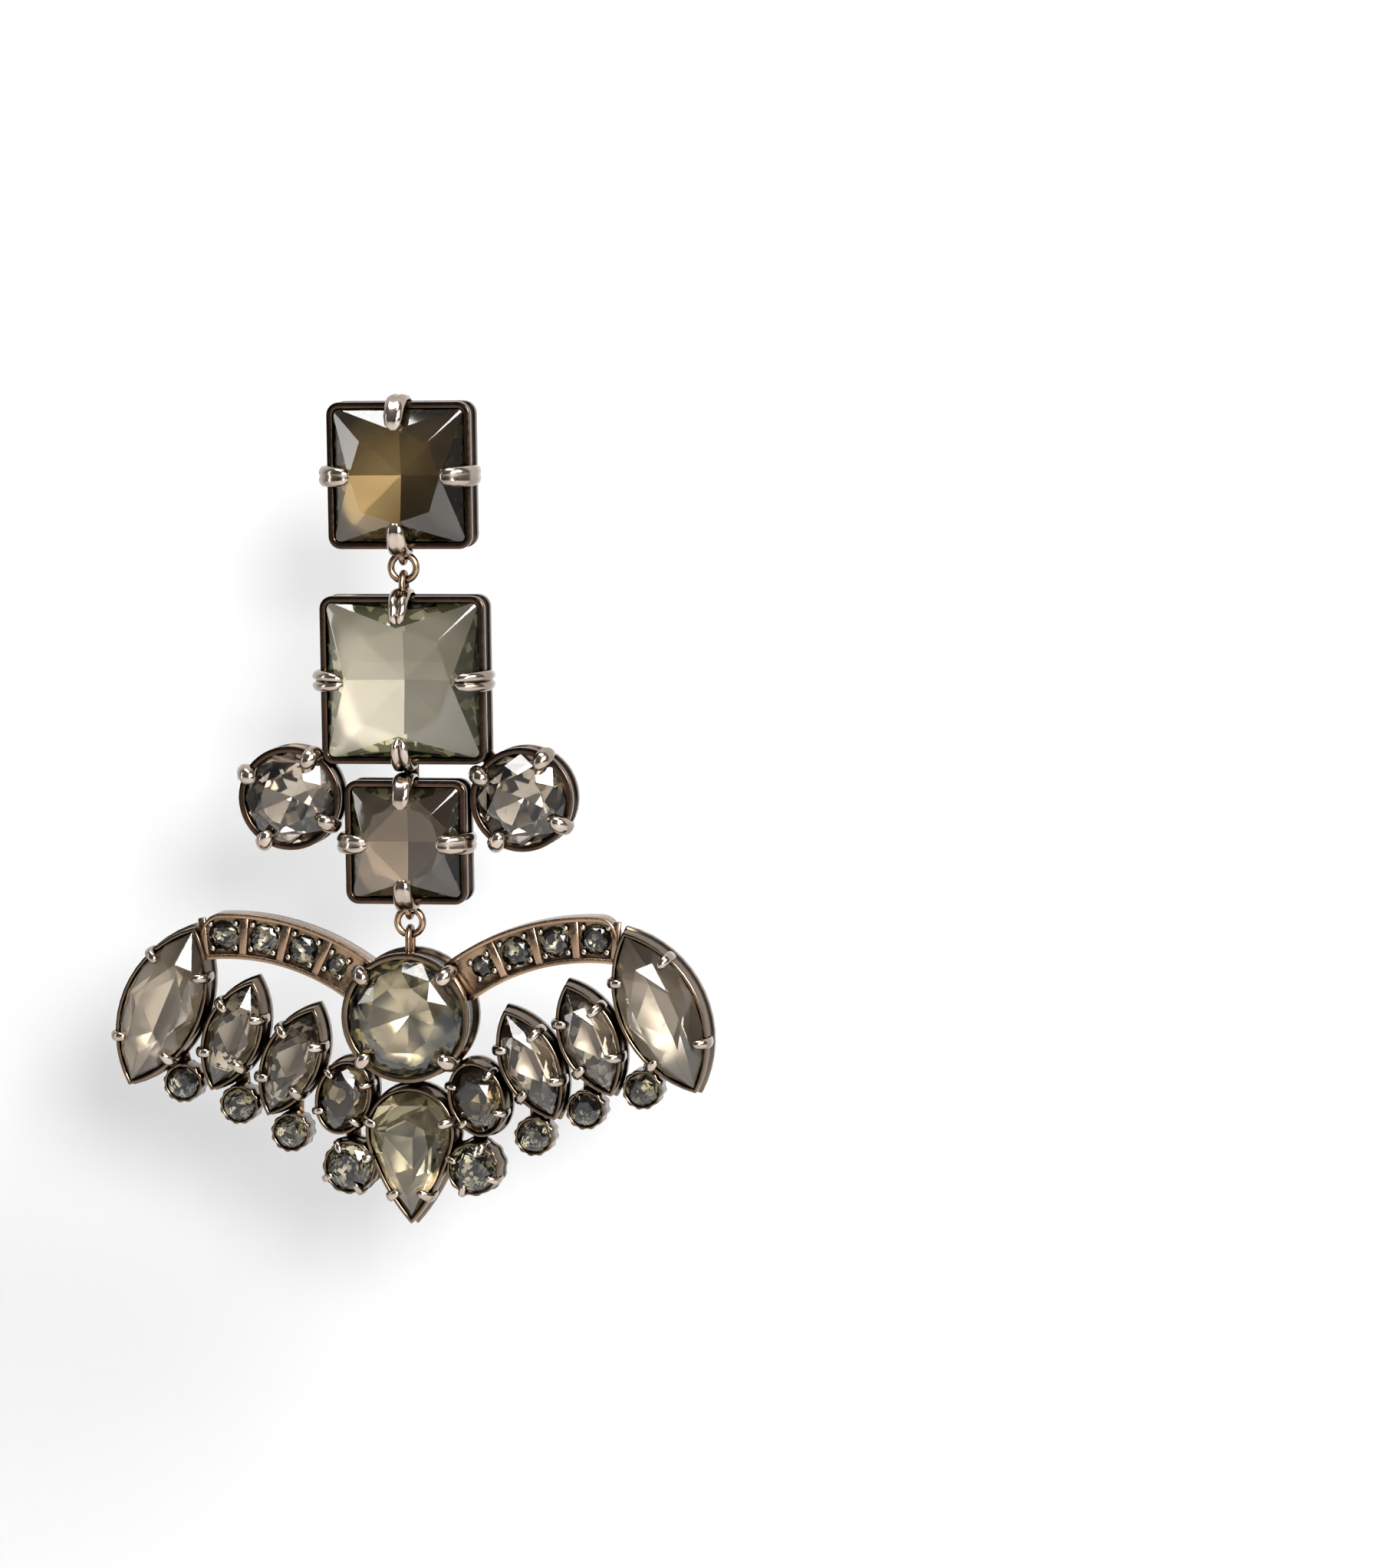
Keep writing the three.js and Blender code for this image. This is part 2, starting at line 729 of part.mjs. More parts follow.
// The outline of a whole arm: its inner end laps into the centre cup's wall, and its outer end is rounded
// down to the tip of its navette
function armOutline(path) {
  const halfWidth = armWidth / 2;
  const side = Math.sign(path.outer - path.inner);
  const perLength = 180 / Math.PI / path.radius;
  const innerEnd = path.inner - side * armInnerLap * perLength;
  const shoulder = side * armShoulder * perLength;
  const outline = armStretch(path, innerEnd, path.outer - shoulder, halfWidth);
  const cut = outline.length / 2;
  const rounding = armEndAngles.map((degrees) => {
    const angle = path.outer - shoulder + shoulder * round(degrees).y;
    const radius = path.radius + halfWidth * round(degrees).x;
    return path.middle.clone().addScaledVector(round(angle), radius);
  });
  const lowEnd = path.middle.clone().addScaledVector(round(path.outer), path.radius - halfWidth);
  return [...outline.slice(0, cut), ...rounding, lowEnd, ...outline.slice(cut)];
}

// A body of the given outline between two depths
function plate(outline, back, front) {
  const shape = new THREE.Shape(outline);
  const body = new THREE.ExtrudeGeometry(shape, { depth: front - back, bevelEnabled: false, steps: 1 });
  const matrix = new THREE.Matrix4().makeBasis(
    new THREE.Vector3(1, 0, 0),
    new THREE.Vector3(0, 0, 1),
    new THREE.Vector3(0, -1, 0),
  );
  return solidOf(body, matrix.setPosition(0, -back, 0));
}

const paveCut = (size) => ({
  ...roundStone(size, paveSides, { depth: armDepth - channelDepth + stoneGap, backRail: 0, rimRail: 0 }),
  table: (outline) => outline.map((point) => turned(point, 180 / paveSides).multiplyScalar(longTable)),
});
const paveSizes = [paveSize, paveSize, paveSize, endPaveSize];

// Angles of an arm's stones along its arc, from the outer end in, a bar's width apart
function paveAngles(path) {
  const perLength = 180 / Math.PI / path.radius;
  let angle = path.outer + (paveSizes[0] / 2 + channelEndBar) * perLength;
  return paveSizes.map((size, i) => {
    const here = angle;
    const next = paveSizes[i + 1] ?? size;
    angle += ((size + next) / 2 + channelBar) * perLength;
    return here;
  });
}

function mirrored(path) {
  const middle = new THREE.Vector2(-path.middle.x, path.middle.y);
  return { ...path, middle, inner: 180 - path.inner, outer: 180 - path.outer };
}

// One arm: a block, a channel cut for each stone between bars, and four grains at each stone
function arm(outerSeat, side) {
  const mirror = side === 'right' ? 1 : -1;
  const rightPath = armArc(outerSeat, mirror);
  const path = mirror > 0 ? rightPath : mirrored(rightPath);
  const floor = armDepth - channelDepth;
  const perLength = 180 / Math.PI / path.radius;
  const angles = paveAngles(rightPath);
  const seats = angles.map((angle, i) => {
    const along = mirror > 0 ? angle : 180 - angle;
    return {
      name: `pave_${i + 1}_${side}`,
      cut: paveCut(paveSizes[i]),
      point: path.middle.clone().addScaledVector(round(along), path.radius),
      turn: along - 90,
      material: blackDiamond,
      along,
    };
  });
  const block = plate(armOutline(path), bridgeInset, armDepth);
  const channels = seats.map((seat, i) => {
    const reach = (paveSizes[i] / 2 + channelLap) * perLength;
    const cell = armStretch(path, seat.along - reach, seat.along + reach, armWidth / 2 - armRim);
    return plate(cell, floor, armDepth + channelDepth);
  });
  const grains = seats.flatMap((seat, i) => diagonals.map((angle) => {
    const reach = paveSizes[i] / 2 + grainLap;
    const point = seat.point.clone().addScaledVector(round(seat.turn + angle), reach);
    const grain = new THREE.OctahedronGeometry(grainSize / 2, 0);
    return solidOf(grain.translate(point.x, -floor - grainStand, point.y));
  }));
  return { seats, solid: join([cutAway(block, channels), ...grains]) };
}

function wingDrop() {
  const middle = {
    name: 'centre_round',
    cut: cuts.centreRound,
    point: centre,
    turn: 0,
    material: khaki,
    claws: wingClaws.centreRound,
  };
  const pear = {
    name: 'pear',
    cut: cuts.pear,
    point: beside(middle, cuts.pear, 0, -90),
    turn: 0,
    material: khaki,
    claws: wingClaws.pear,
    neighbour: middle,
  };
  const seats = [middle, pear, ...wingSeats(middle)];
  const arms = ['right', 'left'].map((side) => (
    arm(seats.find((seat) => seat.name === `outer_navette_${side}`), side)
  ));
  const paves = arms.flatMap(({ seats: stones }) => stones);
  const bail = wireLoop(rooted(middle.cut), lowerRing.bailZ - wingZ, wingHangDepth);
  const tied = seats.filter((seat) => seat.neighbour);
  const bridges = tied.map((seat) => bridge(seat.neighbour.point, seat.point));
  const paveRooms = paves.map(({ cut, point, turn }) => solidOf(stoneRoom(cut), placed(point, turn)));
  const extras = [bail, ...bridges, ...arms.map(({ solid }) => cutAway(solid, paveRooms))];
  return { name: 'wing_setting', seats, extras, paves };
}

function dropGroup({ name, seats, extras, paves = [] }, y, z) {
  const group = new THREE.Group();
  group.position.set(0, y, z);
  group.add(namedMesh(name, geometryOf(setting(seats, extras)), metal));
  [...seats, ...paves].forEach((seat) => group.add(stoneMesh(seat)));
  return group;
}

function ringMesh(name, z) {
  const mesh = namedMesh(name, jumpRing(), metal);
  mesh.position.set(0, hangY, z);
  return mesh;
}

const earring = new THREE.Group();
earring.add(namedMesh('ear_post', earPost(), metal));
earring.add(dropGroup(topDrop(), hangY + topHangDepth, topZ));
earring.add(ringMesh('upper_ring', upperRing.z));
earring.add(dropGroup(middleDrop(), hangY + middleHangDepth, middleZ));
earring.add(ringMesh('lower_ring', lowerRing.z));
earring.add(dropGroup(wingDrop(), hangY + wingHangDepth, wingZ));

export default earring;
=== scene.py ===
# Looks of the chandelier earring: cut glass stones on foil in antiqued rose bronze settings.
# Sizes here are in millimetres and turned to metres where a mesh is made. The front faces -Y.
import math

import bmesh
import bpy
from mathutils import Matrix, Vector


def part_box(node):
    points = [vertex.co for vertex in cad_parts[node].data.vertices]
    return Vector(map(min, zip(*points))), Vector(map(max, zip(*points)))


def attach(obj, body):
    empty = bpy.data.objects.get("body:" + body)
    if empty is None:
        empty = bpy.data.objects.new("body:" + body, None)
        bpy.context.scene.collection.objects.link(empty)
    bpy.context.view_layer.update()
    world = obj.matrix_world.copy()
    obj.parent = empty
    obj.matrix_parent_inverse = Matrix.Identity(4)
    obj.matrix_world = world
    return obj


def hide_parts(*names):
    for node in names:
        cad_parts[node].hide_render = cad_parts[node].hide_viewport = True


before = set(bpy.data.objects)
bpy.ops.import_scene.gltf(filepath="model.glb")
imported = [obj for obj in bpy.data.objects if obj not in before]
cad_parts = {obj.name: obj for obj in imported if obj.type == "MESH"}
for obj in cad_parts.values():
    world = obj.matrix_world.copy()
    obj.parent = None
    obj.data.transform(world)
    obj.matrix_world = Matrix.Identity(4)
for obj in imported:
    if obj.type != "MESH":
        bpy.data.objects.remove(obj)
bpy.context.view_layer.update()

MM = 0.001

# camera

PHOTO_SIZE = (1798, 2044)
# the photograph's pixels to a millimetre, and the pixel column of the earring's axis
PHOTO_SCALE = 14.34
AXIS_PIXEL = 530
# depth and height of what the photograph's middle row shows
MIDDLE_ROW_Y = -3
MIDDLE_ROW_Z = -29.95
CAMERA_AZIMUTH = 11
CAMERA_ELEVATION = 6
CAMERA_ROLL = -0.8
CAMERA_DISTANCE = 600
CAMERA_SENSOR = 36
# nearest and farthest that the camera sees, in metres
CAMERA_CLIP = (0.01, 10)


def camera():
    """A long lens in front of the earring, a little to its right and above it."""
    azimuth, elevation = math.radians(CAMERA_AZIMUTH), math.radians(CAMERA_ELEVATION)
    back = Vector((
        math.sin(azimuth) * math.cos(elevation),
        -math.cos(azimuth) * math.cos(elevation),
        math.sin(elevation),
    ))
    right = Vector((math.cos(azimuth), math.sin(azimuth), 0))
    aside = (PHOTO_SIZE[0] / 2 - AXIS_PIXEL) / PHOTO_SCALE
    aim = Vector((0, MIDDLE_ROW_Y, MIDDLE_ROW_Z)) + right * aside
    data = bpy.data.cameras.new("camera")
    data.sensor_width = CAMERA_SENSOR
    data.lens = CAMERA_SENSOR * CAMERA_DISTANCE * PHOTO_SCALE / PHOTO_SIZE[1]
    data.clip_start, data.clip_end = CAMERA_CLIP
    eye = bpy.data.objects.new("camera", data)
    bpy.context.collection.objects.link(eye)
    eye.location = (aim + back * CAMERA_DISTANCE) * MM
    turn = (-back).to_track_quat("-Z", "Y").to_matrix() @ Matrix.Rotation(math.radians(CAMERA_ROLL), 3, "Z")
    eye.rotation_euler = turn.to_euler()
    bpy.context.scene.camera = eye


camera()

# materials

# bronze: its clouds and its fine wear, with the noise values between which they change
CLOUD_SIZE = 5
CLOUD_RANGE = (0.15, 0.75)
WEAR_SIZE = 0.35
WEAR_RANGE = (0.3, 0.7)
WEAR_DEPTH = 0.05
WEAR_STRENGTH = 0.12
ROUGHNESS_SPREAD = 0.3
# a corner is black with patina below the first openness and bare metal above the second
PATINA = "#1a110b"
PATINA_RANGE = (0.35, 0.8)
# lacquer of the foils, haze of the polished glass
LACQUER_SIZE = 7
LACQUER_RANGE = (0.25, 0.75)
HAZE_SIZE = 1.5
HAZE_RANGE = (0.4, 0.7)
HAZE_ROUGHNESS = 0.03
GLASS_IOR = 1.56
# painted glints on the foil and on the side glass: share of their cells that is dark, and the share from
# which they are fully light
GLINT_TONE_RANGE = (0.6, 0.9)
GLINT_FOIL_ROUGHNESS = 0.4
SHADE_GLINT_RANGE = (0.6, 0.85)
EDGE_ROUGHNESS = 0.02
# sockets of a colour mix: its two colours and its result
MIX_FIRST, MIX_SECOND, MIX_RESULT = 6, 7, 2


def linear(hex_colour):
    """An sRGB hex value as linear red, green, blue and alpha."""
    parts = [int(hex_colour[i:i + 2], 16) / 255 for i in (1, 3, 5)]
    return tuple(c / 12.92 if c <= 0.04045 else ((c + 0.055) / 1.055) ** 2.4 for c in parts) + (1,)


def add(tree, kind, inputs=None, **settings):
    """One node with its settings, its values and its links."""
    node = tree.nodes.new(kind)
    for name, value in settings.items():
        setattr(node, name, value)
    for name, value in (inputs or {}).items():
        socket = node.inputs[name]
        if isinstance(value, bpy.types.NodeSocket):
            tree.links.new(value, socket)
        else:
            socket.default_value = value
    return node


def blank(name):
    """A material with a bare Principled shader, its node tree and that shader."""
    material = bpy.data.materials.new(name)
    material.use_nodes = True
    return material, material.node_tree, material.node_tree.nodes["Principled BSDF"]


def plated_bronze(name, light, dark, roughness, patina_reach):
    """Brass plated rose bronze, darkened with patina that is rubbed off where the metal stands proud.
    The eye sees warm satin metal with black in every corner and groove."""
    material, tree, shader = blank(name)
    place = add(tree, "ShaderNodeTexCoord").outputs["Object"]
    cloud = add(tree, "ShaderNodeTexNoise", {"Vector": place, "Scale": 1 / (CLOUD_SIZE * MM), "Detail": 5})
    tone = add(tree, "ShaderNodeValToRGB", {"Fac": cloud.outputs["Fac"]})
    for element, position, colour in zip(tone.color_ramp.elements, CLOUD_RANGE, (dark, light)):
        element.position, element.color = position, linear(colour)
    corner = add(tree, "ShaderNodeAmbientOcclusion", {"Distance": patina_reach * MM}, samples=6)
    rubbed = add(tree, "ShaderNodeMapRange", {
        "Value": corner.outputs["AO"], "From Min": PATINA_RANGE[0], "From Max": PATINA_RANGE[1],
    })
    colour = add(tree, "ShaderNodeMix", {
        "Factor": rubbed.outputs["Result"], MIX_FIRST: linear(PATINA), MIX_SECOND: tone.outputs["Color"],
    }, data_type="RGBA")
    worn = add(tree, "ShaderNodeTexNoise", {"Vector": place, "Scale": 1 / (WEAR_SIZE * MM), "Detail": 4})
    sheen = add(tree, "ShaderNodeMapRange", {
        "Value": worn.outputs["Fac"], "From Min": WEAR_RANGE[0], "From Max": WEAR_RANGE[1],
        "To Min": roughness * (1 - ROUGHNESS_SPREAD), "To Max": roughness * (1 + ROUGHNESS_SPREAD),
    })
    dents = add(tree, "ShaderNodeBump", {
        "Height": worn.outputs["Fac"], "Strength": WEAR_STRENGTH, "Distance": WEAR_DEPTH * MM,
    })
    shader.inputs["Metallic"].default_value = 1
    tree.links.new(colour.outputs[MIX_RESULT], shader.inputs["Base Color"])
    tree.links.new(sheen.outputs["Result"], shader.inputs["Roughness"])
    tree.links.new(dents.outputs["Normal"], shader.inputs["Normal"])
    return material


def foil(name, light, dark, blur):
    """The mirror foil under a glass stone, lacquered in two close tones. The eye sees it as the colour of
    the stone."""
    material, tree, shader = blank(name)
    place = add(tree, "ShaderNodeTexCoord").outputs["Object"]
    cloud = add(tree, "ShaderNodeTexNoise", {"Vector": place, "Scale": 1 / (LACQUER_SIZE * MM), "Detail": 1})
    tone = add(tree, "ShaderNodeValToRGB", {"Fac": cloud.outputs["Fac"]})
    for element, position, colour in zip(tone.color_ramp.elements, LACQUER_RANGE, (dark, light)):
        element.position, element.color = position, linear(colour)
    shader.inputs["Metallic"].default_value = 1
    shader.inputs["Roughness"].default_value = blur
    tree.links.new(tone.outputs["Color"], shader.inputs["Base Color"])
    return material


def painted_glint_pattern(tree, light, dark, grain_size, tone_range):
    """Painted glints: cells of painted light and shade, as small facets mirror each other. They are drawn
    coarse enough to show.
    """
    place = add(tree, "ShaderNodeTexCoord").outputs["Object"]
    cells = add(tree, "ShaderNodeTexVoronoi", {"Vector": place, "Scale": 1 / (grain_size * MM)})
    parts = add(tree, "ShaderNodeSeparateColor", {"Color": cells.outputs["Color"]})
    tone = add(tree, "ShaderNodeValToRGB", {"Fac": parts.outputs[0]})
    for element, position, colour in zip(tone.color_ramp.elements, tone_range, (dark, light)):
        element.position, element.color = position, linear(colour)
    return tone.outputs["Color"]


def painted_glints(name, light, dark, grain_size):
    """Foil with painted glints: cells of painted light and shade stand in for what small facets mirror. The
    eye sees them as sparkle.
    """
    material, tree, shader = blank(name)
    colour = painted_glint_pattern(tree, light, dark, grain_size, GLINT_TONE_RANGE)
    shader.inputs["Metallic"].default_value = 1
    shader.inputs["Roughness"].default_value = GLINT_FOIL_ROUGHNESS
    tree.links.new(colour, shader.inputs["Base Color"])
    return material


def painted_shade_glass(name, light, dark, grain_size):
    """Glass of a stone's narrow side facets, with painted shade and painted glints in cells for how they
    mirror its edges. The eye sees dark olive triangles with lime glints beside the pale table."""
    material, tree, shader = blank(name)
    colour = painted_glint_pattern(tree, light, dark, grain_size, SHADE_GLINT_RANGE)
    shader.inputs["Roughness"].default_value = EDGE_ROUGHNESS
    shader.inputs["Transmission Weight"].default_value = 1
    shader.inputs["IOR"].default_value = GLASS_IOR
    tree.links.new(colour, shader.inputs["Base Color"])
    return material


def cut_glass(name, tint):
    """Polished lead glass of a stone's crown. The eye sees sharp facets with white glints over the foil."""
    material, tree, shader = blank(name)
    place = add(tree, "ShaderNodeTexCoord").outputs["Object"]
    haze = add(tree, "ShaderNodeTexNoise", {"Vector": place, "Scale": 1 / (HAZE_SIZE * MM), "Detail": 2})
    polish = add(tree, "ShaderNodeMapRange", {
        "Value": haze.outputs["Fac"], "From Min": HAZE_RANGE[0], "From Max": HAZE_RANGE[1],
        "To Min": 0.0, "To Max": HAZE_ROUGHNESS,
    })
    shader.inputs["Base Color"].default_value = linear(tint)
    shader.inputs["Transmission Weight"].default_value = 1
    shader.inputs["IOR"].default_value = GLASS_IOR
    tree.links.new(polish.outputs["Result"], shader.inputs["Roughness"])
    return material


# light and dark tone, roughness, reach of the patina
SATIN = plated_bronze("antiqued_rose_bronze_plating", "#967c65", "#5e4d3e", 0.24, 1.0)
POLISHED = plated_bronze("rubbed_bronze_claws", "#ada093", "#6e6257", 0.16, 0.7)
BLACKENED = plated_bronze("blackened_bronze_cups", "#4c3c30", "#221a15", 0.2, 0.8)
AGED = plated_bronze("aged_bronze_wing_cups", "#695948", "#382e25", 0.18, 0.6)

# finish: slot, tint of the glass
STONES = {
    "olive_bronze": ("olive_glass", "#b8b09c"),
    "pale_grey_green": ("grey_green_glass", "#dcd7ce"),
    "taupe": ("taupe_glass", "#d6d0c6"),
    "deep_taupe": ("taupe_glass", "#beb4a6"),
    "smoke": ("smoke_glass", "#d6d0c8"),
    "pale_khaki": ("khaki_glass", "#dcd3c2"),
    "khaki_pear": ("khaki_glass", "#d6d3c4"),
    "dark_brown": ("brown_glass", "#c4b8a4"),
    "black_olive": ("dark_glass", "#bab4a5"),
}
# finish: light and dark tone of the foil, its blur
FOILS = {
    "olive_bronze": ("#807054", "#3e3324", 0.34),
    "pale_grey_green": ("#b0aca0", "#a09b90", 0.46),
    "taupe": ("#b0a699", "#938a7f", 0.3),
    "deep_taupe": ("#887d70", "#6c6258", 0.4),
    "smoke": ("#beb5aa", "#928a7f", 0.06),
    "pale_khaki": ("#b2aa9a", "#8f8676", 0.22),
    "khaki_pear": ("#8e8874", "#6c675b", 0.24),
}
# finish: light and dark tones of the painted glints, their cell size
PAINTED_GLINT_TONES = {
    "olive_bronze": ("#a8a350", "#242112", 1.0),
    "pale_grey_green": ("#a3a868", "#23261a", 1.0),
    "taupe": ("#ece4d2", "#4c4134", 0.7),
    "deep_taupe": ("#a39a60", "#2f2a22", 0.9),
    "pale_khaki": ("#c8be84", "#191811", 0.8),
    "dark_brown": ("#e4d6b8", "#2a2216", 0.9),
    "black_olive": ("#faf5e4", "#100f0a", 0.4),
}
GLASS = {finish: cut_glass(f"{finish}_cut_glass", tint) for finish, (slot, tint) in STONES.items()}
FOIL = {finish: foil(f"{finish}_foil", *tones) for finish, tones in FOILS.items()}
# foils with painted glints, for stones that sparkle and for steep facets
PAINTED_GLINT_FOILS = {finish: painted_glints(f"{finish}_splinters", *tones) for finish, tones in PAINTED_GLINT_TONES.items()}
# foil with painted light, for the steep facets of pale cuts
PAINTED_LIGHT_FOIL = foil("cream_painted_light_foil", "#d8cdb8", "#bfb39c", 0.24)
# glass with painted shade and painted glints, for steep crown facets
PAINTED_SHADE_GLASS = painted_shade_glass("olive_glass_painted_shade_and_glints", "#e2e4b4", "#4c4e3a", 0.9)

# outlines, seen from the front: fine for a cup, coarse for the facets of a stone

QUARTERS = (0, 90, 180, 270)
SQUARE_CORNER = 0.5
PEAR_SIDE_RADIUS = 18


def spot(degrees, radius=1.0, centre=(0, 0)):
    """A point at an angle round a centre, in x and z."""
    a = math.radians(degrees)
    return Vector((centre[0] + radius * math.cos(a), centre[1] + radius * math.sin(a)))


def arc(centre, radius, start, end, steps):
    """Points along an arc, with both its ends."""
    return [spot(start + (end - start) * i / steps, radius, centre) for i in range(steps + 1)]


def turned(point, degrees):
    return Matrix.Rotation(math.radians(degrees), 2) @ point


def square_outline(side, grow, fine):
    inner = side / 2 - SQUARE_CORNER
    steps = 6 if fine else 3
    corner = arc((inner, inner), SQUARE_CORNER + grow, 0, 90, steps)
    return [turned(point, quarter) for quarter in QUARTERS for point in corner]


def round_outline(sides):
    def outline(size, grow, fine):
        count = 48 if fine else sides
        return arc((0, 0), (size / 2 + grow) / math.cos(math.pi / count), 0, 360, count)[:-1]
    return outline


def navette_outline(length, width, grow, fine):
    """Two arcs that meet in a point at both ends."""
    radius = (length ** 2 + width ** 2) / (4 * width)
    bend = radius - width / 2
    spread = math.degrees(math.acos(bend / (radius + grow)))
    steps = 16 if fine else 6
    right = arc((-bend, 0), radius + grow, -spread, spread, steps)
    left = arc((bend, 0), radius + grow, 180 - spread, 180 + spread, steps)
    return right[:-1] + left[:-1]


def oval_outline(length, width, grow, fine):
    count = 40 if fine else 16
    circle = arc((0, 0), 1, 0, 360, count)[:-1]
    return [Vector((p.x * (width / 2 + grow), p.y * (length / 2 + grow))) for p in circle]


def pear_outline(length, width, grow, fine):
    """A round head that runs down in two shallow arcs to a point."""
    head = width / 2
    head_z = length / 2 - head
    tip = length - head
    side_z = (2 * PEAR_SIDE_RADIUS * head - head ** 2 - tip ** 2) / (2 * tip)
    side_x = math.sqrt((PEAR_SIDE_RADIUS - head) ** 2 - side_z ** 2)
    head_angle = math.degrees(math.atan2(-side_z, side_x))
    tip_angle = -math.degrees(math.acos(side_x / (PEAR_SIDE_RADIUS + grow)))
    steps, head_steps = (10, 24) if fine else (2, 8)
    centre_z = head_z + side_z
    right = arc((-side_x, centre_z), PEAR_SIDE_RADIUS + grow, tip_angle, head_angle, steps)
    top = arc((0, head_z), head + grow, head_angle, 180 - head_angle, head_steps)
    left = arc((side_x, centre_z), PEAR_SIDE_RADIUS + grow, 180 - head_angle, 180 - tip_angle, steps)
    return right[:-1] + top + left[1:-1]


# cuts of the stones and the cups that hold them

STONE_GAP = 0.1
CUP_WALL = 0.3
BACK_PLATE = 0.6
GIRDLE = 0.3
RAIL = 0.25
SQUARE_CROWN = 0.16
ROUND_CROWN = 0.17
LONG_CROWN = 0.25


class Cut:
    """A stone's cut and its cup, with the back of the cup at y = 0. The depth is the cup's. The crown's
    height and the table are shares of the stone's width, and the ridge is a share of its pavilion. The rim
    and the back are how far the cup's rails stand out, and the flutes are how deep its wall is ribbed. A keel
    is half the length of a long stone's deepest edge. The edge names the painted light and shade of the
    steep facets: glass with painted shade, foil with painted glints or foil with painted light."""

    def __init__(
        self, shape, size, depth, crown, table, rim, back, keel=0.0, flutes=0.0, edge="plain", ridge=0.46
    ):
        self.shape, self.size, self.depth, self.table = shape, size, depth, table
        self.crown = crown * min(size)
        self.rim, self.back, self.keel, self.flutes = rim, back, keel, flutes
        self.edge, self.ridge = edge, ridge

    def outline(self, grow=0.0, fine=False):
        return self.shape(*self.size, grow, fine)


def square_cut(side, ridge):
    return Cut(square_outline, (side,), 3.2, SQUARE_CROWN, 0.7, RAIL, RAIL, edge="dark", ridge=ridge)


# the edge of a cut picks the painted light and shade of its steep facets
CUTS = {
    "top_square": square_cut(12, 0.52),
    "middle_square": square_cut(14, 0.52),
    "lower_square": square_cut(10, 0.74),
    "flank_round": Cut(round_outline(16), (8.2,), 3.2, ROUND_CROWN, 0.58, RAIL, RAIL),
    "centre_round": Cut(round_outline(20), (10.6,), 4.4, ROUND_CROWN, 0.58, RAIL, 0.4, edge="mixed"),
    "outer_navette": Cut(navette_outline, (15, 6.9), 3, LONG_CROWN, 0.6, 0, RAIL, keel=2.7, edge="pale"),
    "small_navette": Cut(navette_outline, (10, 4.6), 3, LONG_CROWN, 0.6, 0, RAIL, keel=1.8, edge="broken"),
    "oval": Cut(oval_outline, (6.2, 4.4), 3.2, LONG_CROWN, 0.6, 0, RAIL, keel=0.6, edge="sparkling"),
    "pear": Cut(pear_outline, (11.6, 7.5), 3.4, LONG_CROWN, 0.6, 0, RAIL, keel=1.4, edge="pale"),
    "chaton": Cut(round_outline(12), (2.9,), 2.6, ROUND_CROWN, 0.58, 0, 0, flutes=0.12, edge="sparkling"),
    "lower_chaton": Cut(
        round_outline(12), (4.2,), 3.2, ROUND_CROWN, 0.58, 0, 0.15, flutes=0.1, edge="sparkling"
    ),
    "pave": Cut(round_outline(16), (2.8,), 2.2, ROUND_CROWN, 0.6, 0, 0, edge="sparkling"),
    "end_pave": Cut(round_outline(16), (2,), 2.2, ROUND_CROWN, 0.6, 0, 0, edge="sparkling"),
}

# where everything sits

HANG_Y = -2.55
WING_Z = -50.766
# drop: body, node of its metal, depth of its back
DROPS = {
    "top": {"body": "top", "node": "top_setting", "y": -0.65},
    "middle": {"body": "middle_drop", "node": "middle_setting", "y": -0.59},
    "wing": {"body": "wing_drop", "node": "wing_setting", "y": -0.93},
}
SIDES = {"right": 1, "left": -1}
ARM_CENTRE = Vector((16.896, -13.684))
ARM_RADIUS = 20.803
ARM_ANGLES = (83.07, 126.3)
# degrees along an arm for a millimetre
ARM_TURN = 180 / math.pi / ARM_RADIUS
PAVE_ANGLES = (88.58, 99.04, 109.51, 118.87)
PAVE_SIZES = (2.8, 2.8, 2.8, 2.0)

# node, drop, cut, turn, finish
SEATS = [
    ("top_square", "top", "top_square", 0, "olive_bronze"),
    ("middle_square", "middle", "middle_square", 0, "pale_grey_green"),
    ("lower_square", "middle", "lower_square", 0, "deep_taupe"),
    ("flank_round_right", "middle", "flank_round", 0, "smoke"),
    ("flank_round_left", "middle", "flank_round", 0, "smoke"),
    ("centre_round", "wing", "centre_round", 0, "pale_khaki"),
    ("pear", "wing", "pear", 0, "khaki_pear"),
]
for side, mirror in SIDES.items():
    SEATS += [
        (f"oval_{side}", "wing", "oval", mirror * 17, "dark_brown"),
        (f"inner_navette_{side}", "wing", "small_navette", mirror * 24.5, "taupe"),
        (f"middle_navette_{side}", "wing", "small_navette", mirror * 22, "taupe"),
        (f"outer_navette_{side}", "wing", "outer_navette", mirror * 24, "taupe"),
        (f"outer_chaton_{side}", "wing", "chaton", 0, "black_olive"),
        (f"second_chaton_{side}", "wing", "chaton", 0, "black_olive"),
        (f"inner_chaton_{side}", "wing", "chaton", 0, "black_olive"),
        (f"lower_chaton_{side}", "wing", "lower_chaton", mirror * 20, "black_olive"),
    ]
    for i, (angle, size) in enumerate(zip(PAVE_ANGLES, PAVE_SIZES)):
        kind = "pave" if size == PAVE_SIZES[0] else "end_pave"
        SEATS.append((f"pave_{i + 1}_{side}", "wing", kind, mirror * (angle - 90), "black_olive"))


def seat_centre(node):
    """The middle of a stone in x and z, from its solid."""
    low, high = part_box(node)
    return Vector(((low.x + high.x) / 2, (low.z + high.z) / 2)) / MM


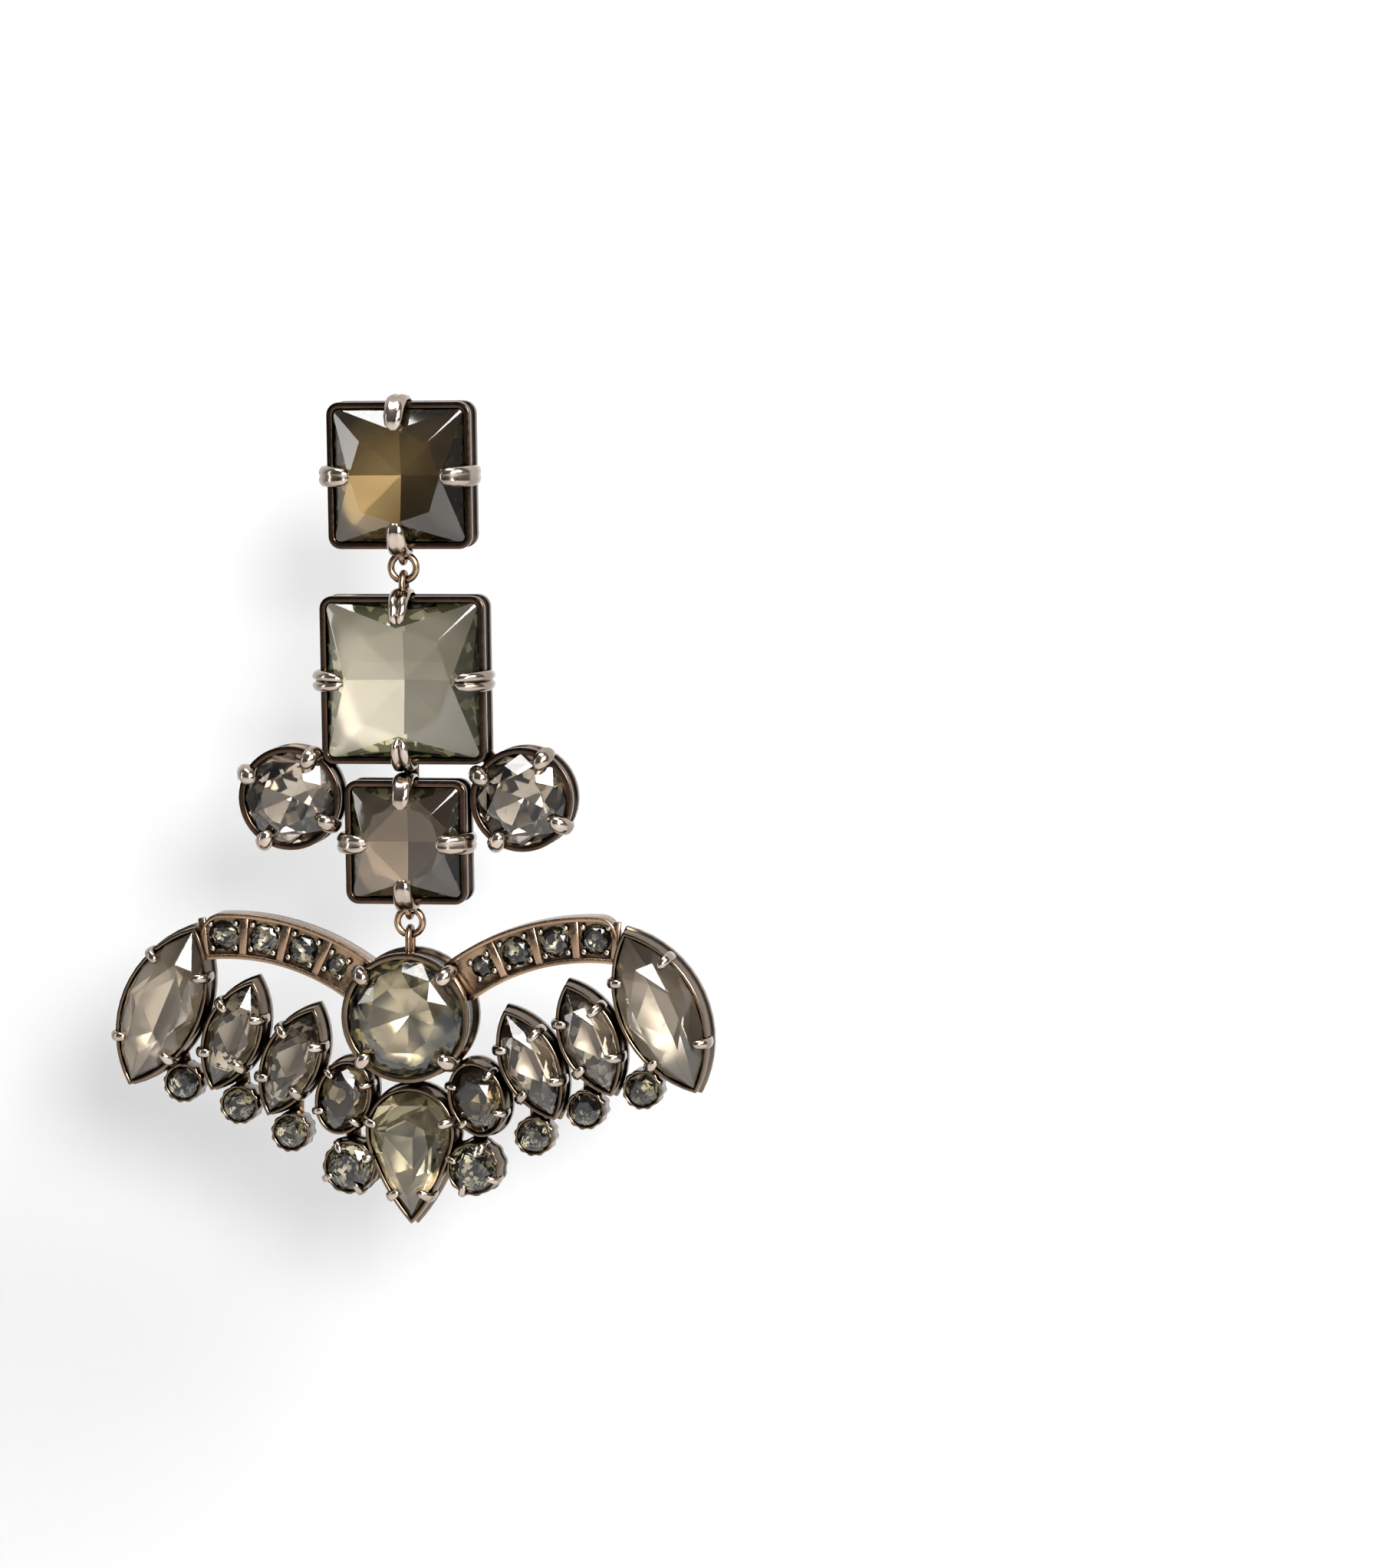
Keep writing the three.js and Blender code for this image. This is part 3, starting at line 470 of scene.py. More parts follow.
def stand(node, drop, turn):
    """The place of a cup: it turns what is drawn round its centre and sets it in its drop."""
    centre = seat_centre(node)
    back = DROPS[drop]["y"]
    return Matrix.Translation((centre.x, back, centre.y)) @ Matrix.Rotation(math.radians(-turn), 4, "Y")


def at(points, y):
    """Outline points at one depth."""
    return [Vector((p.x, y, p.y)) for p in points]


# making meshes


def nothing_selected():
    bpy.ops.object.select_all(action="DESELECT")


def selected(piece):
    """Selects one piece alone."""
    nothing_selected()
    piece.select_set(True)
    bpy.context.view_layer.objects.active = piece


def skin(name, rows):
    """A skin over rows of points: a filled circle is laid on the first row and extruded to each next one."""
    nothing_selected()
    bpy.ops.mesh.primitive_circle_add(vertices=len(rows[0]), radius=MM, fill_type="NGON")
    piece = bpy.context.object
    piece.name = name
    bpy.ops.object.mode_set(mode="EDIT")
    mesh = bmesh.from_edit_mesh(piece.data)
    mesh.verts.ensure_lookup_table()
    place = {vert.index: i for i, vert in enumerate(mesh.verts)}
    for index, i in place.items():
        mesh.verts[index].co = rows[0][i] * MM
    for row in rows[1:]:
        bpy.ops.mesh.extrude_region_move()
        mesh = bmesh.from_edit_mesh(piece.data)
        mesh.verts.index_update()
        mesh.verts.ensure_lookup_table()
        next_place = {}
        for vert in mesh.verts:
            if vert.select:
                ends = [edge.other_vert(vert) for edge in vert.link_edges]
                old = next(end.index for end in ends if not end.select)
                next_place[vert.index] = place[old]
        for index, i in next_place.items():
            mesh.verts[index].co = row[i] * MM
        place = next_place
    bpy.ops.mesh.select_all(action="SELECT")
    bpy.ops.mesh.normals_make_consistent(inside=False)
    bpy.ops.object.mode_set(mode="OBJECT")
    return piece


def moved(piece, matrix):
    """The piece with its mesh moved by a place in millimetres. Its object stays at the origin."""
    scale = Matrix.Scale(MM, 4)
    piece.data.transform(scale @ matrix @ scale.inverted())
    piece.matrix_world = Matrix.Identity(4)
    return piece


def copied(piece, name, matrix):
    """A copy with its own mesh, at another place."""
    selected(piece)
    bpy.ops.object.duplicate(linked=False)
    twin = bpy.context.object
    twin.name = name
    return moved(twin, matrix)


def joined(name, pieces):
    """One object made of several."""
    selected(pieces[0])
    for piece in pieces:
        piece.select_set(True)
    if len(pieces) > 1:
        bpy.ops.object.join()
    whole = bpy.context.object
    whole.name = name
    return whole


def rounded(piece, width, segments=2, angle=35):
    """Softens a piece's edges and shades it smooth."""
    selected(piece)
    bevel = piece.modifiers.new("soft_edges", "BEVEL")
    bevel.width = width * MM
    bevel.segments = segments
    bevel.limit_method = "ANGLE"
    bevel.angle_limit = math.radians(angle)
    bpy.ops.object.modifier_apply(modifier="soft_edges")
    bpy.ops.object.shade_smooth_by_angle(angle=math.radians(angle))
    return piece


def smoothed(piece, angle):
    """Shades a piece smooth, but for edges sharper than the angle."""
    selected(piece)
    bpy.ops.object.shade_smooth_by_angle(angle=math.radians(angle))
    return piece


def finished(piece, material, body, node):
    """Gives a metal piece its material and says what it stands for and what it moves with."""
    piece.data.materials.clear()
    piece.data.materials.append(material)
    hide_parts(node)
    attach(piece, body)


# stones

# shares of half the width: corners of a square's table, its ridge, a round stone's crown and ridge
SQUARE_TABLE_CORNER = 0.53
SQUARE_RIDGE = 0.8
CROWN_RING = 0.82
ROUND_RIDGE = 0.7
# share of the crown's height at its middle ring
CROWN_RING_HEIGHT = 0.58
FLAT_FACET = 1.5
# a facet is steep when the y of its normal is less than the first, either way, and it lies behind the girdle
# when that y is over the second
STEEP = 0.84
BEHIND = 0.05
# on a mixed cut, steep crown facets with painted shade and clear ones take turns after this many degrees
# round a stone, counted from this far before +X
PAINTED_SHADE_TURN = 40
PAINTED_SHADE_START = 5


def stone_points(cut):
    """The corners of a cut stone: table, crown, girdle, pavilion and culet."""
    front = STONE_GAP - cut.depth
    back = front + GIRDLE
    deep = -BACK_PLATE - STONE_GAP - back
    girdle = cut.outline()
    reach = max(p.x for p in girdle)
    if cut.shape is square_outline:
        corner = Vector((SQUARE_TABLE_CORNER, SQUARE_TABLE_CORNER)) * reach
        table = [turned(Vector((cut.table * reach, 0)), q) for q in QUARTERS]
        table += [turned(corner, q) for q in QUARTERS]
        ridge = [turned(Vector((SQUARE_RIDGE * reach, 0)), q) for q in QUARTERS]
        crown = []
    else:
        table = [p * cut.table for p in girdle[::2]]
        crown = [p * CROWN_RING for p in girdle[1::2]]
        ridge = [p * ROUND_RIDGE for p in girdle[1::2]]
    culet = [Vector((0, cut.keel)), Vector((0, -cut.keel))] if cut.keel else [Vector((0, 0))]
    return [
        *at(table, front - cut.crown),
        *at(crown, front - CROWN_RING_HEIGHT * cut.crown),
        *at(girdle, front),
        *at(girdle, back),
        *at(ridge, back + cut.ridge * deep),
        *at(culet, back + deep),
    ]


def cut_stone(kind):
    """A stone with flat facets: a skin is drawn tight over its corners, and its flats are merged."""
    points = stone_points(CUTS[kind])
    nothing_selected()
    bpy.ops.mesh.primitive_circle_add(vertices=len(points), radius=MM)
    stone = bpy.context.object
    stone.name = kind
    for vert, point in zip(stone.data.vertices, points):
        vert.co = point * MM
    bpy.ops.object.mode_set(mode="EDIT")
    bpy.ops.mesh.select_all(action="SELECT")
    bpy.ops.mesh.convex_hull()
    bpy.ops.mesh.dissolve_limited(angle_limit=math.radians(FLAT_FACET))
    bpy.ops.mesh.normals_make_consistent(inside=False)
    bpy.ops.object.mode_set(mode="OBJECT")
    return stone


def facet_material(cut, normal, finish):
    """The material of a facet, from the way it faces: steep facets get painted shade, painted glints or
    painted light. On a mixed cut, facets with painted shade and clear ones take turns round the stone.
    """
    steep = abs(normal.y) < STEEP
    turn = round((math.degrees(math.atan2(normal.z, normal.x)) + PAINTED_SHADE_START) / PAINTED_SHADE_TURN)
    odd = (turn + steep) % 2
    # in front of the girdle: steep crown facets of dark cuts, and of mixed cuts by turns, get glass with
    # painted shade
    if normal.y < BEHIND:
        dark = steep and (cut.edge == "dark" or (cut.edge == "mixed" and odd))
        return PAINTED_SHADE_GLASS if dark else GLASS[finish]
    # behind the girdle: foil with painted glints on sparkling stones and on steep facets of dark, mixed and
    # broken cuts
    if cut.edge == "sparkling" or (steep and cut.edge in ("dark", "mixed", "broken")):
        return PAINTED_GLINT_FOILS[finish]
    # steep facets of pale cuts get foil with painted light
    return PAINTED_LIGHT_FOIL if steep and cut.edge == "pale" else FOIL[finish]


def make_stones():
    """Each stone is a copy of its cut, with a material for each of its facets."""
    patterns = {kind: cut_stone(kind) for kind in CUTS}
    for node, drop, kind, turn, finish in SEATS:
        stone = copied(patterns[kind], f"{node}_stone", stand(node, drop, turn))
        stone.data.materials.clear()
        used = []
        for face in stone.data.polygons:
            material = facet_material(CUTS[kind], face.normal, finish)
            if material not in used:
                used.append(material)
                stone.data.materials.append(material)
            face.material_index = used.index(material)
        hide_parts(node)
        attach(stone, DROPS[drop]["body"])
    for pattern in patterns.values():
        bpy.data.objects.remove(pattern)


# cups

RAIL_HEIGHT = 0.8
RAIL_SLOPE = 0.2
PANEL_MARGIN = 0.25
PANEL_SLOPE = 0.1
PANEL_DEPTH = 0.15
CUP_EDGE = 0.07


def fluted(points, flute):
    """Ribs up the wall: every second pair of points is drawn in."""
    return [p * (1 - flute / p.length * (i % 4 < 2)) for i, p in enumerate(points)]


def cup(kind):
    """A cup: the floor, the inner wall, the rim with its rail, the grooved wall, the back rail, and the back
    plate with its shallow panel."""
    cut = CUTS[kind]
    wall = STONE_GAP + CUP_WALL
    rows = [(STONE_GAP, -BACK_PLATE), (STONE_GAP, -cut.depth)]
    if cut.rim:
        rows += [
            (wall + cut.rim, -cut.depth),
            (wall + cut.rim, RAIL_HEIGHT - cut.depth),
            (wall, RAIL_HEIGHT + RAIL_SLOPE - cut.depth),
        ]
    else:
        rows += [(wall, -cut.depth)]
    if cut.back:
        rows += [(wall, -RAIL_HEIGHT - RAIL_SLOPE), (wall + cut.back, -RAIL_HEIGHT), (wall + cut.back, 0)]
    else:
        rows += [(wall, 0)]
    rows += [(-PANEL_MARGIN, 0), (-PANEL_MARGIN - PANEL_SLOPE, -PANEL_DEPTH)]
    lines = []
    for i, (grow, y) in enumerate(rows):
        outline = cut.outline(grow, fine=True)
        if cut.flutes and 1 < i < len(rows) - 2:
            outline = fluted(outline, cut.flutes)
        lines.append(at(outline, y))
    return rounded(skin(kind, lines), CUP_EDGE)


def cup_finish(drop):
    """The wing's cups are aged, and the squares' cups above are blackened."""
    return AGED if drop == "wing" else BLACKENED


def make_cups():
    """The stones in the arms have no cup."""
    patterns = {kind: cup(kind) for kind in CUTS if "pave" not in kind}
    for drop, place in DROPS.items():
        cups = [
            copied(patterns[kind], node, stand(node, drop, turn))
            for node, at_drop, kind, turn, _ in SEATS
            if at_drop == drop and kind in patterns
        ]
        finished(joined(f"{drop}_cups", cups), cup_finish(drop), place["body"], place["node"])
    for pattern in patterns.values():
        bpy.data.objects.remove(pattern)


# claws

CLAW_SIDES = 12
GROOVED_SIDES = 20
GROOVE_SPREAD = 0.22
WIRE_SMOOTH = 60
PARALLEL = 1e-9

# sections of a claw: way out from the girdle, height over the rim, half width, half thickness
SQUARE_CLAW = [
    (0.55, -2.6, 0.8, 0.3), (0.95, -1.6, 0.88, 0.38), (1.0, -0.5, 0.92, 0.44), (0.85, 0.35, 0.95, 0.52),
    (0.3, 1.1, 0.95, 0.56), (-0.6, 1.7, 0.9, 0.54), (-1.35, 1.9, 0.76, 0.46), (-1.7, 1.75, 0.4, 0.24),
]
BALL_CLAW = [
    (0.7, -1.9, 0.4, 0.3), (0.85, -0.9, 0.5, 0.35), (0.8, 0.05, 0.62, 0.5), (0.5, 0.45, 0.72, 0.62),
    (0.1, 0.7, 0.72, 0.66), (-0.25, 0.8, 0.62, 0.6), (-0.55, 0.75, 0.4, 0.42), (-0.72, 0.68, 0.1, 0.1),
]
BAR_CLAW = [
    (0.5, -1.6, 0.4, 0.16), (0.55, -0.6, 0.42, 0.2), (0.5, 0.1, 0.42, 0.24), (0.3, 0.45, 0.4, 0.26),
    (0.0, 0.65, 0.38, 0.26), (-0.35, 0.78, 0.34, 0.24), (-0.6, 0.8, 0.26, 0.18), (-0.7, 0.78, 0.08, 0.06),
]
# square: how deep the groove down its claws is, as a share of their thickness
SQUARE_GROOVES = {"top_square": 0.3, "middle_square": 0.75, "lower_square": 0.3}
# cut: angles of its claws, their sections and scale
CLAWS = {
    "centre_round": ((45, 135, 225, 315), BALL_CLAW, 1.05),
    "flank_round": ((60, 150, 240, 330), BALL_CLAW, 1.15),
    "pear": ((40, 140, 247, 293), BAR_CLAW, 1.15),
    "outer_navette": ((58, 122, 238, 302), BAR_CLAW, 1.15),
    "small_navette": ((52, 128, 232, 308), BAR_CLAW, 1.15),
    "oval": ((45, 135, 225, 315), BAR_CLAW, 0.8),
    "lower_chaton": ((45, 135, 225, 315), BAR_CLAW, 0.8),
}


def edge_at(outline, degrees):
    """Where a ray from the centre crosses an outline, and the way out of it there."""
    ray = spot(degrees)
    for start, end in zip(outline, outline[1:] + outline[:1]):
        side = end - start
        across = side.x * ray.y - side.y * ray.x
        if abs(across) < PARALLEL:
            continue
        share = (start.y * ray.x - start.x * ray.y) / across
        point = start + side * share
        if 0 <= share < 1 and point.dot(ray) > 0:
            return point, Vector((side.y, -side.x)).normalized()
    raise ValueError("the outline does not surround its centre")


def tube(path, sizes, across, sides, groove=0.0):
    """Rows of an oval section along a path that lies in a plane square to the direction across. A groove
    runs down the outer side as a share of its thickness."""
    section = []
    for p in arc((0, 0), 1, 0, 360, sides)[:-1]:
        dent = groove * math.exp(-((p.x / GROOVE_SPREAD) ** 2)) if p.y < 0 else 0
        section.append(Vector((p.x, p.y * (1 - dent))))
    rows = []
    for i, point in enumerate(path):
        before, after = path[max(i - 1, 0)], path[min(i + 1, len(path) - 1)]
        up = across.cross(after - before).normalized()
        wide, thick = sizes[i]
        rows.append([point + across * (wide * p.x) + up * (thick * p.y) for p in section])
    return rows


def claw(kind, degrees, style, scale=1.0, start=0, groove=0.0):
    """A bent claw up a cup's side and over its rim. The scale changes its thickness and what is over the
    stone, and it starts at a later section where a jump ring is in the way."""
    cut = CUTS[kind]
    point, out = edge_at(cut.outline(fine=True), degrees)
    path, sizes = [], []
    for far, rise, wide, thick in style[start:]:
        far *= scale if far < 0 else 1
        rise *= scale if rise > 0 else 1
        path.append(Vector((point.x + out.x * far, -cut.depth - rise, point.y + out.y * far)))
        sizes.append((wide * scale, thick * scale))
    sides = GROOVED_SIDES if groove else CLAW_SIDES
    rows = tube(path, sizes, Vector((out.y, 0, -out.x)), sides, groove)
    return smoothed(skin("claw", rows), WIRE_SMOOTH)


def claws_of(kind):
    """A square has a broad claw in the middle of each side. The lowest one of the top and the lower square
    starts in front of the jump ring."""
    if kind in SQUARE_GROOVES:
        first = {270: 0 if kind == "middle_square" else 1}
        return [
            claw(kind, degrees, SQUARE_CLAW, start=first.get(degrees, 0), groove=SQUARE_GROOVES[kind])
            for degrees in QUARTERS
        ]
    if kind in CLAWS:
        angles, style, scale = CLAWS[kind]
        return [claw(kind, degrees, style, scale) for degrees in angles]
    return []


def make_claws():
    """Each cup gets a copy of its claws. The left flank's are turned, to mirror the right one's."""
    patterns = {}
    for kind in CUTS:
        pieces = claws_of(kind)
        if pieces:
            patterns[kind] = joined(f"{kind}_claws", pieces)
    for drop, place in DROPS.items():
        claws = []
        for node, at_drop, kind, turn, _ in SEATS:
            if at_drop != drop or kind not in patterns:
                continue
            matrix = stand(node, drop, turn)
            if node == "flank_round_left":
                matrix = matrix @ Matrix.Rotation(math.radians(-90), 4, "Y")
            claws.append(copied(patterns[kind], node, matrix))
        finished(joined(f"{drop}_claws", claws), POLISHED, place["body"], place["node"])
    for pattern in patterns.values():
        bpy.data.objects.remove(pattern)


# loops, rings, post and ties

WIRE_SIDES = 14
RING_RADIUS = 1.175
RING_WIRE = 0.65
RING_STEPS = 48
RING_EDGE = 0.03
# where a ring's ends meet, and half the slit between them, in degrees
RING_ENDS = 250
RING_SLIT = 1.2
RINGS = {"upper_ring": -9.9, "lower_ring": -42.27}
LOOP_WIRE = 0.6
LOOP_BOW = 0.85
LOOP_STEP = 15
# a loop: its drop, the height of its root, the height that its wire reaches
LOOPS = [
    ("top_loop", "top", -7.7, -9.43),
    ("middle_bail", "middle", -12.87, -10.37),
    ("middle_loop", "middle", -40.07, -41.8),
    ("wing_bail", "wing", -45.27, -42.74),
]
# radii and depths of the post's pad and pin
PAD_PROFILE = [(2.3, 0.0), (2.5, -0.12), (2.5, -0.48), (2.3, -0.6)]
PIN_PROFILE = [(0.45, -0.3), (0.45, 0.0), (0.45, 9.9), (0.4, 10.25), (0.24, 10.45), (0.1, 10.5)]
PAD_SIDES = 40
PIN_SIDES = 20
POST_SMOOTH = 40
TIE_HALF = 0.7
TIE_DEPTHS = (0.22, 0.5)
TIE_EDGE = 0.06


def loop_rows(root_z, bow_z):
    """Wire rows of a loop edge-on to the front: two legs and a round bow between them."""
    side = 1 if bow_z > root_z else -1
    centre = Vector((HANG_Y, bow_z - side * LOOP_BOW))
    bow = [spot(angle * side, LOOP_BOW, centre) for angle in range(180, -1, -LOOP_STEP)]
    route = [Vector((bow[0].x, root_z)), *bow, Vector((bow[-1].x, root_z))]
    path = [Vector((0, p.x, p.y)) for p in route]
    return tube(path, [(LOOP_WIRE / 2, LOOP_WIRE / 2)] * len(path), Vector((1, 0, 0)), WIRE_SIDES)


def make_loops():
    for name, drop, root_z, bow_z in LOOPS:
        loop = smoothed(skin(name, loop_rows(root_z, bow_z)), WIRE_SMOOTH)
        finished(loop, SATIN, DROPS[drop]["body"], DROPS[drop]["node"])


def make_rings():
    """Jump rings: one turn of round wire whose ends meet at the bottom with a hair of a gap."""
    turn = arc((0, 0), RING_RADIUS, RING_ENDS + RING_SLIT, RING_ENDS + 360 - RING_SLIT, RING_STEPS)
    for name, z in RINGS.items():
        path = [Vector((p.x, HANG_Y, z + p.y)) for p in turn]
        sizes = [(RING_WIRE / 2, RING_WIRE / 2)] * len(path)
        ring = skin(name, tube(path, sizes, Vector((0, 1, 0)), WIRE_SIDES))
        finished(rounded(ring, RING_EDGE, 1, WIRE_SMOOTH), SATIN, name, name)


def lathed(name, profile, sides):
    """A round piece along Y."""
    rows = [at(arc((0, 0), radius, 0, 360, sides)[:-1], y) for radius, y in profile]
    return smoothed(skin(name, rows), POST_SMOOTH)


def make_post():
    """The post: a pad with a soft edge, a straight pin with a rounded end."""
    pieces = [lathed("pad", PAD_PROFILE, PAD_SIDES), lathed("pin", PIN_PROFILE, PIN_SIDES)]
    finished(joined("ear_post_and_pad", pieces), SATIN, "top", "ear_post")


TIES = {
    "middle": [
        ("middle_square", "lower_square"),
        ("middle_square", "flank_round_right"),
        ("middle_square", "flank_round_left"),
    ],
    "wing": [("centre_round", "pear")],
}
for side in SIDES:
    TIES["wing"] += [
        ("centre_round", f"oval_{side}"),
        (f"oval_{side}", f"inner_navette_{side}"),
        (f"inner_navette_{side}", f"middle_navette_{side}"),
        (f"middle_navette_{side}", f"outer_navette_{side}"),
        (f"outer_navette_{side}", f"outer_chaton_{side}"),
        (f"middle_navette_{side}", f"second_chaton_{side}"),
        (f"inner_navette_{side}", f"inner_chaton_{side}"),
        (f"oval_{side}", f"lower_chaton_{side}"),
    ]


def make_ties():
    """Flat strips in the cups' back plates that hold the cups together. They show only between the cups."""
    for drop, pairs in TIES.items():
        strips = []
        for start, end in pairs:
            a, b = seat_centre(start), seat_centre(end)
            along = (b - a).normalized()
            across = Vector((-along.y, along.x)) * TIE_HALF
            corners = [a + across, a - across, b - across, b + across]
            rows = [at(corners, DROPS[drop]["y"] - depth) for depth in TIE_DEPTHS]
            strips.append(rounded(skin("tie", rows), TIE_EDGE))
        place = DROPS[drop]
        finished(joined(f"{drop}_ties", strips), cup_finish(drop), place["body"], place["node"])


# wing arms

ARM_HALF = 2.1
ARM_BACK = 0.15
ARM_FRONT = 2.6
ARM_FLOOR = 2.1
ARM_STEPS = 26
ARM_EDGE = 0.1
ARM_SMOOTH = 50
# width of an arm's raised rims, and the most that they take of a narrow end
ARM_RIM = 0.42
RIM_SHARE = 0.3
# length of an arm's rounded end, and the angles of its sections
ARM_SHOULDER = 1.8
SHOULDER_ANGLES = (88, 70, 50, 30, 12)
SEAT_FLOOR = 0.6
SEAT_DEPTH = 3
SEAT_GAP = 0.06
SEAT_SIDES = 32
# bars between the stones: half lengths along the arm, lap over the rims, depths
BAR_HALF = 0.36
END_BAR_HALF = 0.3
END_BAR_GAP = 0.45
BAR_LAP = 0.1
BAR_DEPTHS = (1.9, 2.48)
BAR_EDGE = 0.08
GRAIN_RADIUS = 0.3
GRAIN_GAP = 0.2
GRAIN_RISE = 0.22
GRAIN_PRESS = 0.85
GRAIN_SMOOTH = 80
CORNERS = (45, 135, 225, 315)


def arm_point(degrees, offset, depth, mirror):
    """A point of an arm: along its arc, out from its middle line and forward of its back."""
    p = spot(degrees, ARM_RADIUS + offset, ARM_CENTRE)
    return Vector((mirror * p.x, DROPS["wing"]["y"] - depth, WING_Z + p.y))


def arm_channel(mirror):
    """An arm: a bar with two raised rims, swept along its arc and rounded down at its outer end."""
    start, end = ARM_ANGLES
    shoulder = ARM_SHOULDER * ARM_TURN
    steps = []
    for angle in SHOULDER_ANGLES:
        a = math.radians(angle)
        steps.append((start + shoulder * (1 - math.sin(a)), math.cos(a)))
    for i in range(ARM_STEPS + 1):
        steps.append((start + shoulder + (end - start - shoulder) * i / ARM_STEPS, 1.0))
    rows = []
    for degrees, share in steps:
        top = ARM_HALF * share
        rim = min(ARM_RIM, (top + ARM_HALF) * RIM_SHARE)
        section = [
            (-ARM_HALF, ARM_BACK), (top, ARM_BACK), (top, ARM_FRONT), (top - rim, ARM_FRONT),
            (top - rim, ARM_FLOOR), (rim - ARM_HALF, ARM_FLOOR), (rim - ARM_HALF, ARM_FRONT),
            (-ARM_HALF, ARM_FRONT),
        ]
        rows.append([arm_point(degrees, offset, depth, mirror) for offset, depth in section])
    return drilled(rounded(skin("arm", rows), ARM_EDGE, 2, ARM_SMOOTH), mirror)


def drilled(arm, mirror):
    """Drills a seat into the arm for every stone."""
    for angle, size in zip(PAVE_ANGLES, PAVE_SIZES):
        nothing_selected()
        bpy.ops.mesh.primitive_cylinder_add(
            vertices=SEAT_SIDES, radius=(size / 2 + SEAT_GAP) * MM, depth=SEAT_DEPTH * MM,
            location=arm_point(angle, 0, SEAT_FLOOR + SEAT_DEPTH / 2, mirror) * MM,
            rotation=(math.pi / 2, 0, 0),
        )
        drill = bpy.context.object
        selected(arm)
        hole = arm.modifiers.new("seat", "BOOLEAN")
        hole.operation = "DIFFERENCE"
        hole.solver = "EXACT"
        hole.object = drill
        bpy.ops.object.modifier_apply(modifier="seat")
        bpy.data.objects.remove(drill)
    return smoothed(arm, ARM_SMOOTH)


def arm_bar(degrees, half_length, mirror):
    """A flat bar across the channel between two stones."""
    half = ARM_HALF - ARM_RIM + BAR_LAP
    low, high = BAR_DEPTHS
    rows = []
    for angle in (degrees - half_length * ARM_TURN, degrees + half_length * ARM_TURN):
        rows.append([
            arm_point(angle, offset, depth, mirror)
            for offset, depth in ((-half, low), (half, low), (half, high), (-half, high))
        ])
    return rounded(skin("bar", rows), BAR_EDGE)


def grain(centre):
    """A bead raised beside a stone: a ball pressed a little flat."""
    nothing_selected()
    bpy.ops.mesh.primitive_uv_sphere_add(segments=12, ring_count=8, radius=GRAIN_RADIUS * MM)
    bead = bpy.context.object
    bpy.ops.object.mode_set(mode="EDIT")
    bpy.ops.mesh.select_all(action="SELECT")
    bpy.ops.transform.resize(value=(1, GRAIN_PRESS, 1))
    bpy.ops.object.mode_set(mode="OBJECT")
    return moved(smoothed(bead, GRAIN_SMOOTH), Matrix.Translation(centre))


def make_arms():
    """Both arms, with a bar before the first stone and between stones, and four grains round each stone."""
    channels, beads = [], []
    for mirror in SIDES.values():
        channels.append(arm_channel(mirror))
        for a, b, size_a, size_b in zip(PAVE_ANGLES, PAVE_ANGLES[1:], PAVE_SIZES, PAVE_SIZES[1:]):
            middle = (a + size_a / 2 * ARM_TURN + b - size_b / 2 * ARM_TURN) / 2
            channels.append(arm_bar(middle, BAR_HALF, mirror))
        first = PAVE_ANGLES[0] - (PAVE_SIZES[0] / 2 + END_BAR_GAP) * ARM_TURN
        channels.append(arm_bar(first, END_BAR_HALF, mirror))
        for angle, size in zip(PAVE_ANGLES, PAVE_SIZES):
            for way in CORNERS:
                reach = size / 2 + GRAIN_GAP
                along = angle + reach * math.sin(math.radians(way)) * ARM_TURN
                offset = reach * math.cos(math.radians(way))
                beads.append(grain(arm_point(along, offset, ARM_FLOOR + GRAIN_RISE, mirror)))
    place = DROPS["wing"]
    finished(joined("wing_arms", channels), SATIN, place["body"], place["node"])
    finished(joined("wing_grains", beads), POLISHED, place["body"], place["node"])


make_stones()
make_cups()
make_claws()
make_loops()
make_rings()
make_ties()
make_arms()
make_post()

# stage and light

CARD_GLOW = 0.1
CARD_Y = 66.0
CARD_TOP = 900.0
FLOOR_Z = -150.0
FLOOR_FRONT = -1500.0
SWEEP_BEND = 60.0
SWEEP_HALF_WIDTH = 1500.0
CARD_SMOOTH = 60
CARD_ROUGHNESS = 0.9
LAMP_AIM = Vector((10, 0, -35))
# lamp: place, width and height, watts
LAMPS = {
    "key": ((355, -415, 305), (330, 330), 7),
    "far_key": ((535, -1471, 300), (220, 220), 30),
    "top": ((-60, -120, 480), (380, 160), 3),
    "left_card": ((-540, -160, 60), (60, 420), 0.5),
}
# room: tones in front from low to high with the heights where they end, and the tone at the sides with the
# depths between which it comes in
ROOM_FRONT = ("#38332d", "#c8c8cc")
ROOM_HEIGHTS = (-0.4, 0.9)
ROOM_SIDE = "#c8c8c8"
ROOM_DEPTHS = (-0.8, -0.35)
ROOM_STRENGTH = 0.5


def matt_card(name, tone):
    """Matt painted card. The eye sees an even pale tone."""
    material, tree, shader = blank(name)
    shader.inputs["Base Color"].default_value = linear(tone)
    shader.inputs["Roughness"].default_value = CARD_ROUGHNESS
    return material, tree, shader


